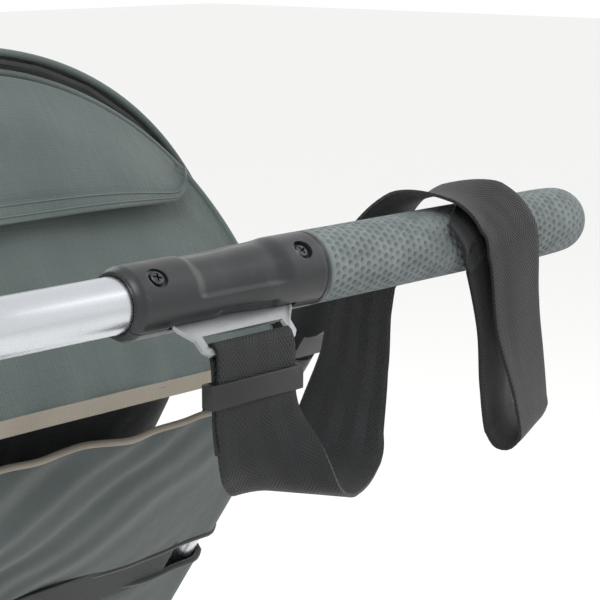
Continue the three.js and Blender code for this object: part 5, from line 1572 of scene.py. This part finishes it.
@dataclass
class LowerFrame:
    """Fold joints, fork, legs, stays, brace, axle, footrest and brake."""

    knee: Point = (0.096, 0.335, -0.243)
    fork_half: float = 0.058
    stay_rear: float = 0.205
    stay_radius: float = 0.009
    stay_share: float = 0.62
    brace_share: float = 0.9
    brace_radius: float = 0.010
    socket: float = 0.0343
    body: str = "chassis"

    def fork_line(self, side: int) -> list[Vector]:
        """Centre line of a fork tube from its socket to just above the front axle."""
        knee = FOLD_AXIS + Vector((side * self.knee[0], self.knee[1], self.knee[2]))
        top = FOLD_AXIS + Vector((side * FRAME_HALF, 0.0, 0.0))
        foot = Vector((side * self.fork_half, FRONT_AXLE.y, FRONT_AXLE.z))
        foot += (knee - foot).normalized() * 0.032
        return bent([top + (knee - top).normalized() * self.socket, knee, foot], 0.090, 14)

    def along_fork(self, side: int, share: float) -> Vector:
        """A point on the fork tube's first run."""
        return FOLD_AXIS + Vector((side * (FRAME_HALF + (self.knee[0] - FRAME_HALF) * share),
                                   self.knee[1] * share, self.knee[2] * share))

    def dropout(self, side: int, way: Vector) -> bpy.types.Object:
        """Flat plate at the foot of a fork tube with its plug."""
        centre = Vector((side * self.fork_half, FRONT_AXLE.y, FRONT_AXLE.z))
        plate = spun("dropout", [(-0.003, 0.0064), (-0.003, 0.0164), (-0.0024, 0.017), (0.0024, 0.017),
                                 (0.003, 0.0164), (0.003, 0.0064)], centre, 48)
        web = block("web", centre - way * 0.022, (0.006, 0.020, 0.022), Matrix.Rotation(
            math.atan2(way.y, -way.z), 3, "X"))
        round_edges(web, 0.001)
        plug = rod("plug", centre - way * 0.046, centre - way * 0.026, TUBE_RADIUS - 0.0002, 40)
        round_edges(plug, 0.004, 4)
        return joined("dropout", [plate, web, plug])

    def tubes(self) -> None:
        """Fork tubes, rear legs, side stays and the front brace."""
        for side, name in ((-1, "left"), (1, "right")):
            line = self.fork_line(side)
            tube = round_tube(f"fork_{name}", line, TUBE_RADIUS, sides=48)
            dress(tube, Material.TUBE, Slot.TUBE, self.body, f"fork_tube_{name}")
            foot = smoothed(self.dropout(side, (line[-1] - line[-2]).normalized()), 40.0)
            dress(named(foot, f"dropout_{name}"), Material.FITTING, Slot.TUBE, self.body)
            leg = (REAR_AXLE - FOLD_AXIS).normalized()
            start = FOLD_AXIS + Vector((side * FRAME_HALF, 0.0, 0.0))
            end = REAR_AXLE + Vector((side * FRAME_HALF, 0.0, 0.0)) - leg * 0.009
            line = bent([start + leg * self.socket, end], 0.0)
            tube = round_tube(f"leg_{name}", line, TUBE_RADIUS, sides=48)
            dress(tube, Material.TUBE, Slot.TUBE, self.body, f"rear_leg_{name}")
            meet = self.along_fork(side, self.stay_share)
            rear = REAR_AXLE + Vector((side * self.stay_rear, 0.0, 0.0))
            way = (meet - rear).normalized()
            tube = round_tube(f"stay_{name}", bent([rear + way * 0.009, meet - way * 0.008], 0.0),
                              self.stay_radius, sides=36)
            dress(tube, Material.TUBE, Slot.TUBE, self.body, f"side_stay_{name}")
        inset = Vector((0.008, 0.0, 0.0))
        ends = [self.along_fork(-1, self.brace_share) + inset, self.along_fork(1, self.brace_share) - inset]
        tube = round_tube("brace_tube", bent(ends, 0.0), self.brace_radius, sides=36)
        dress(tube, Material.TUBE, Slot.TUBE, self.body, "front_brace")

    def fittings(self) -> None:
        """Joints, locks, axle, tread plate and brake pedal."""
        for name in ("left", "right"):
            dress(refined(f"fold_joint_{name}", 0.0012), Material.BLACK, Slot.BLACK, self.body,
                  f"fold_joint_{name}")
            dress(refined(f"fold_lock_{name}", 0.0012), Material.RED, Slot.RED, f"fold_lock_{name}",
                  f"fold_lock_{name}")
        dress(refined("rear_axle", 0.0008), Material.FITTING, Slot.TUBE, self.body, "rear_axle")
        dress(refined("footrest", 0.0008), Material.CHARCOAL, Slot.CHARCOAL, self.body, "footrest")
        dress(refined("brake_pedal", 0.0016), Material.RED, Slot.RED, "brake_pedal", "brake_pedal")
        dress(refined("front_skewer", 0.0006), Material.ZINC, Slot.STEEL, self.body, "front_skewer")
        dress(refined("quick_release_lever", 0.0012), Material.ZINC, Slot.STEEL, "release_lever",
              "quick_release_lever")

    def build(self) -> None:
        """Builds the tubes and fittings."""
        self.tubes()
        self.fittings()


@dataclass
class Basket:
    """Sagging cargo basket of knit cloth with a bound rim and hanging straps."""

    rear: float = -0.165
    front: float = 0.165
    rear_half: float = 0.180
    front_half: float = 0.134
    low: float = 0.189
    high: float = 0.309
    corner: float = 0.035

    def ring(self, share: float, height: float) -> Vector:
        """A point round the basket's wall at a height share, 0 at the floor and 1 at the rim."""
        corners = [(self.rear_half, self.rear), (self.front_half, self.front),
                   (-self.front_half, self.front), (-self.rear_half, self.rear)]
        outline = [Vector((x, y, 0.0)) for x, y in [*corners, corners[0]]]
        start = (outline[0] + outline[1]) / 2
        loop = bent([start, outline[1], outline[2], outline[3], outline[4], start], self.corner, 8, 0.012)
        point = Route(loop, Vector((0.0, 0.0, 1.0))).at(share)[0]
        return point * (0.955 + 0.045 * height)

    def wall(self) -> None:
        """Walls and floor as one cloth, bellied and gathered."""
        count = 144
        rim = [self.ring(index / count, 1.0) for index in range(count)]
        rows = 26

        def place(around: float, up: float) -> Vector:
            """A point on the bag: floor centre at 0, up the wall to the rim at 1."""
            index = round(around * count) % count
            edge = rim[index]
            wall = max((up - 0.45) / 0.55, 0.0)
            floor = min(up / 0.45, 1.0)
            taper = 0.95 + 0.05 * wall
            spread = floor * taper
            belly = 0.004 * math.sin(math.pi * wall)
            gather = 0.0016 * wave(around * 1.6, 0.035, 21.0) * wall
            sag = 0.003 * (1 - floor**2)
            lip = self.low + 0.002 + 0.006 * floor**6 * (1 - wall)
            drop = 0.010 * math.sin(4 * math.pi * around) ** 2 * wall**3
            height = lip + (self.high - self.low - 0.004) * wall - sag * 0.3 - drop
            outward = Vector((edge.x, edge.y, 0.0)).normalized()
            flat = edge * spread - outward * (0.004 - belly - gather) * (floor > 0.9)
            return Vector((flat.x, FOLD_AXIS.y + flat.y, height))

        bag = cloth_grid("basket_bag", count, rows, place, (0.98, 0.30))
        mend(bag, 2e-5)
        thicken(bag, 0.0016)
        smoothed(bag, 60.0)
        dress(bag, Material.BASKET, Slot.PAD, "chassis", "basket")
        points = [place(index / count, 1.0) for index in range(count)]
        tape = round_tube("basket_rim", [*points, points[0], points[1]], 0.0034, 0.0012, 12)
        dress(tape, Material.PAD, Slot.PAD, "chassis")

    def straps(self) -> None:
        """Four straps from the rim up to the legs and the side stays."""
        hooks = [(0.168, -0.155, Vector((0.2275, -0.185, 0.345))),
                 (0.128, 0.150, Vector((0.158, 0.105, 0.395)))]
        for side in (-1, 1):
            for index, (x, y, top) in enumerate(hooks):
                foot = Vector((side * x, FOLD_AXIS.y + y, self.high - 0.030))
                goal = Vector((side * top.x, top.y, top.z))
                middle = foot.lerp(goal, 0.5) + Vector((side * 0.004, 0.0, -0.004))
                line = curve_through([foot, foot.lerp(goal, 0.2), middle, goal], 30)
                route = Route(line, Vector((0.0, 1.0, 0.0)))
                name = f"basket_strap_{'front' if index else 'rear'}_{'left' if side < 0 else 'right'}"
                dress(ribbon(name, route, 0.020, 0.0018, 40, 6), Material.HARNESS, Slot.WEBBING, "chassis")

    def build(self) -> None:
        """Builds the bag and its straps."""
        self.wall()
        self.straps()


# ---------------------------------------------------------------- wheels


@dataclass
class Wheel:
    """Air-filled tyre on an alloy rim with crossed wire spokes."""

    name: str
    centre: Vector
    radius: float
    width: float
    rim: float
    hub_half: float
    spokes: int
    body: str
    tyre_node: str
    wheel_node: str
    knobs: int = 56
    flange: float = 0.0192  # holes for the spokes, from the axle

    def tyre(self) -> None:
        """Tyre with a centre rib and side blocks standing out of its tread."""
        half = self.width / 2
        depth = self.radius - self.rim
        columns, rows = 36, self.knobs * 6

        def place(around: float, along: float) -> Vector:
            """A point on the tyre's skin."""
            angle = 2 * math.pi * around
            turn = 2 * math.pi * along
            crown = max(0.0, math.cos(angle))
            x = half * math.sin(angle) * (1.0 if crown > 0 else 0.86)
            reach = self.rim + depth * 0.47 + (depth * 0.53 - 0.0022) * math.cos(angle) if crown > 0 else (
                self.rim + depth * 0.47 + depth * 0.43 * math.cos(angle))
            block_at = (along * self.knobs + (0.25 if x > 0 else 0.0) + 0.18 * abs(x) / half) % 1.0
            rib = abs(x) < half * 0.2
            shoulder = half * 0.3 < abs(x) < half * 0.88 and crown > 0.25
            raised = 0.0022 if (rib or (shoulder and 0.16 < block_at < 0.82)) else 0.0
            reach += raised
            return self.centre + Vector((x, reach * math.sin(turn), reach * math.cos(turn)))

        tyre = cloth_grid(f"{self.name}_tyre_rubber", columns, rows, place, (0.13, 2 * math.pi * self.radius))
        mend(tyre, 1e-5)
        round_edges(tyre, 0.0004, 1, 50.0)
        smoothed(tyre, 45.0)
        dress(tyre, Material.TYRE, Slot.TYRE, self.body, self.tyre_node)

    def rim_and_hub(self) -> None:
        """Hollow-section rim, hub with two flanges, and the valve."""
        half = self.width * 0.34
        r = self.rim
        rim = spun(f"{self.name}_rim", [
            (-half * 0.35, r - 0.016), (-half * 0.8, r - 0.0125), (-half, r - 0.008), (-half, r + 0.004),
            (-half + 0.0016, r + 0.0052), (-half + 0.003, r + 0.004), (-half + 0.003, r - 0.004),
            (half - 0.003, r - 0.004), (half - 0.003, r + 0.004), (half - 0.0016, r + 0.0052),
            (half, r + 0.004), (half, r - 0.008), (half * 0.8, r - 0.0125), (half * 0.35, r - 0.016)],
            self.centre, 128)
        smoothed(rim, 35.0)
        dress(rim, Material.RIM, Slot.ALLOY, self.body, self.wheel_node)
        h = self.hub_half
        side = [(-h, 0.0068), (-h, 0.0105), (-h + 0.001, 0.0125), (-h + 0.006, 0.0130), (-h + 0.0075, 0.0150),
                (-h + 0.009, 0.0216), (-h + 0.0098, 0.0224), (-h + 0.0122, 0.0224), (-h + 0.013, 0.0216),
                (-h + 0.015, 0.0150), (-h + 0.019, 0.0120), (-h + 0.026, 0.0112)]
        outline = [*side, *((-x, radius) for x, radius in reversed(side))]
        hub = spun(f"{self.name}_hub", outline, self.centre, 64)
        smoothed(hub, 35.0)
        dress(hub, Material.FITTING, Slot.ALLOY, self.body)
        foot = self.centre + Vector((0.0, 0.0, -(r - 0.046)))
        valve = joined(f"{self.name}_valve", [
            rod("stem", foot, foot - Vector((0.0, 0.0, 0.034)), 0.0030, 20),
            rod("cap", foot + Vector((0.0, 0.0, 0.001)), foot - Vector((0.0, 0.0, 0.010)), 0.0041, 20)])
        round_edges(valve, 0.0008, 2)
        smoothed(valve, 40.0)
        dress(valve, Material.BLACK, Slot.TYRE, self.body)

    def laced(self) -> None:
        """Wire spokes, crossed in pairs, each with its nipple at the rim."""
        parts = []
        for index in range(self.spokes):
            side = -1 if index % 2 else 1
            pair = index // 2
            lean = 0.62 if pair % 2 else -0.62
            angle = 2 * math.pi * (index + 0.5) / self.spokes
            at_hub = angle + lean * 1.55
            inner = self.centre + Vector((side * (self.hub_half - 0.011), self.flange * math.sin(at_hub),
                                          self.flange * math.cos(at_hub)))
            reach = self.rim - 0.0145
            outer = self.centre + Vector((side * 0.002, reach * math.sin(angle), reach * math.cos(angle)))
            axle = Vector((side * 0.0022, 0.0, 0.0))
            way = (outer - inner).normalized()
            parts.append(rod("wire", inner, outer, 0.0010, 8))
            parts.append(rod("nipple", outer - way * 0.012, outer + way * 0.002, 0.0020, 8))
            parts.append(rod("head", inner - axle, inner + axle, 0.0018, 8))
        spokes = joined(f"{self.name}_spokes", parts)
        smoothed(spokes, 50.0)
        dress(spokes, Material.SPOKE, Slot.ALLOY, self.body)

    def build(self) -> None:
        """Builds the tyre, rim, hub and spokes."""
        self.tyre()
        self.rim_and_hub()
        self.laced()


# ---------------------------------------------------------------- studio


@dataclass
class Studio:
    """Floor, soft lights, pale surroundings and the camera."""

    camera_at: Point = (-0.608, -1.1152, 1.1536)
    heading: float = 42.9
    pitch: float = -11.6
    lens: float = 108.0

    def floor(self) -> None:
        """A wide plain floor."""
        deselect()
        bpy.ops.mesh.primitive_plane_add(size=40.0)
        plane = named(bpy.context.active_object, "studio_floor")
        board = Board("studio_floor_paint", Space.OBJECT)
        plane.data.materials.append(board.wire(Base_Color="#f2f2f1", Roughness=0.85))

    def light(self, name: str, place: Point, goal: Point, size: float, power: float) -> None:
        """A soft square light aimed at a point."""
        bpy.ops.object.light_add(type="AREA", location=place)
        lamp = bpy.context.active_object
        lamp.name = name
        lamp.data.size = size
        lamp.data.energy = power
        lamp.rotation_euler = (Vector(goal) - Vector(place)).to_track_quat("-Z", "Y").to_euler()

    def build(self) -> None:
        """Builds the studio round the stroller."""
        self.floor()
        world = bpy.data.worlds.new("pale_studio")
        bpy.context.scene.world = world
        world.use_nodes = True
        background = world.node_tree.nodes["Background"]
        background.inputs["Color"].default_value = (1.0, 1.0, 1.0, 1.0)
        background.inputs["Strength"].default_value = 1.0
        self.light("key", (-1.2, -1.7, 3.0), (0.0, -0.4, 0.9), 1.3, 34.0)
        self.light("fill", (2.4, -1.2, 2.0), (0.0, -0.3, 0.8), 2.2, 14.0)
        self.light("back", (0.4, 2.6, 2.6), (0.0, 0.0, 0.6), 2.0, 24.0)
        bpy.ops.object.camera_add(location=self.camera_at)
        camera = bpy.context.active_object
        camera.name = "photo_angle"
        camera.rotation_euler = (math.radians(90 + self.pitch), 0.0, math.radians(self.heading - 90))
        camera.data.lens = self.lens
        camera.data.clip_start = 0.02
        bpy.context.scene.camera = camera
        view = bpy.context.scene.view_settings
        view.view_transform = "Standard"


def main() -> None:
    """Builds every sub-assembly in order."""
    Studio().build()
    rear = {"radius": REAR_AXLE.z, "width": 0.044, "rim": 0.164, "hub_half": 0.042, "spokes": 28}
    assemblies = [
        PushBar(), Coupling(), WristStrap(), Hood(), UpperFrame(), Seat(), LowerFrame(), Basket(),
        Wheel("front", FRONT_AXLE, FRONT_AXLE.z, 0.048, 0.120, 0.0544, 20, "front_wheel", "front_tyre",
              "front_wheel", 44),
        Wheel("rear_left", REAR_AXLE + Vector((-0.290, 0.0, 0.0)), body="rear_wheel_left",
              tyre_node="rear_tyre_left", wheel_node="rear_wheel_left", **rear),
        Wheel("rear_right", REAR_AXLE + Vector((0.290, 0.0, 0.0)), body="rear_wheel_right",
              tyre_node="rear_tyre_right", wheel_node="rear_wheel_right", **rear),
    ]
    for assembly in assemblies:
        LOG.info("building %s", type(assembly).__name__)
        assembly.build()


if __name__ == "__main__":
    main()
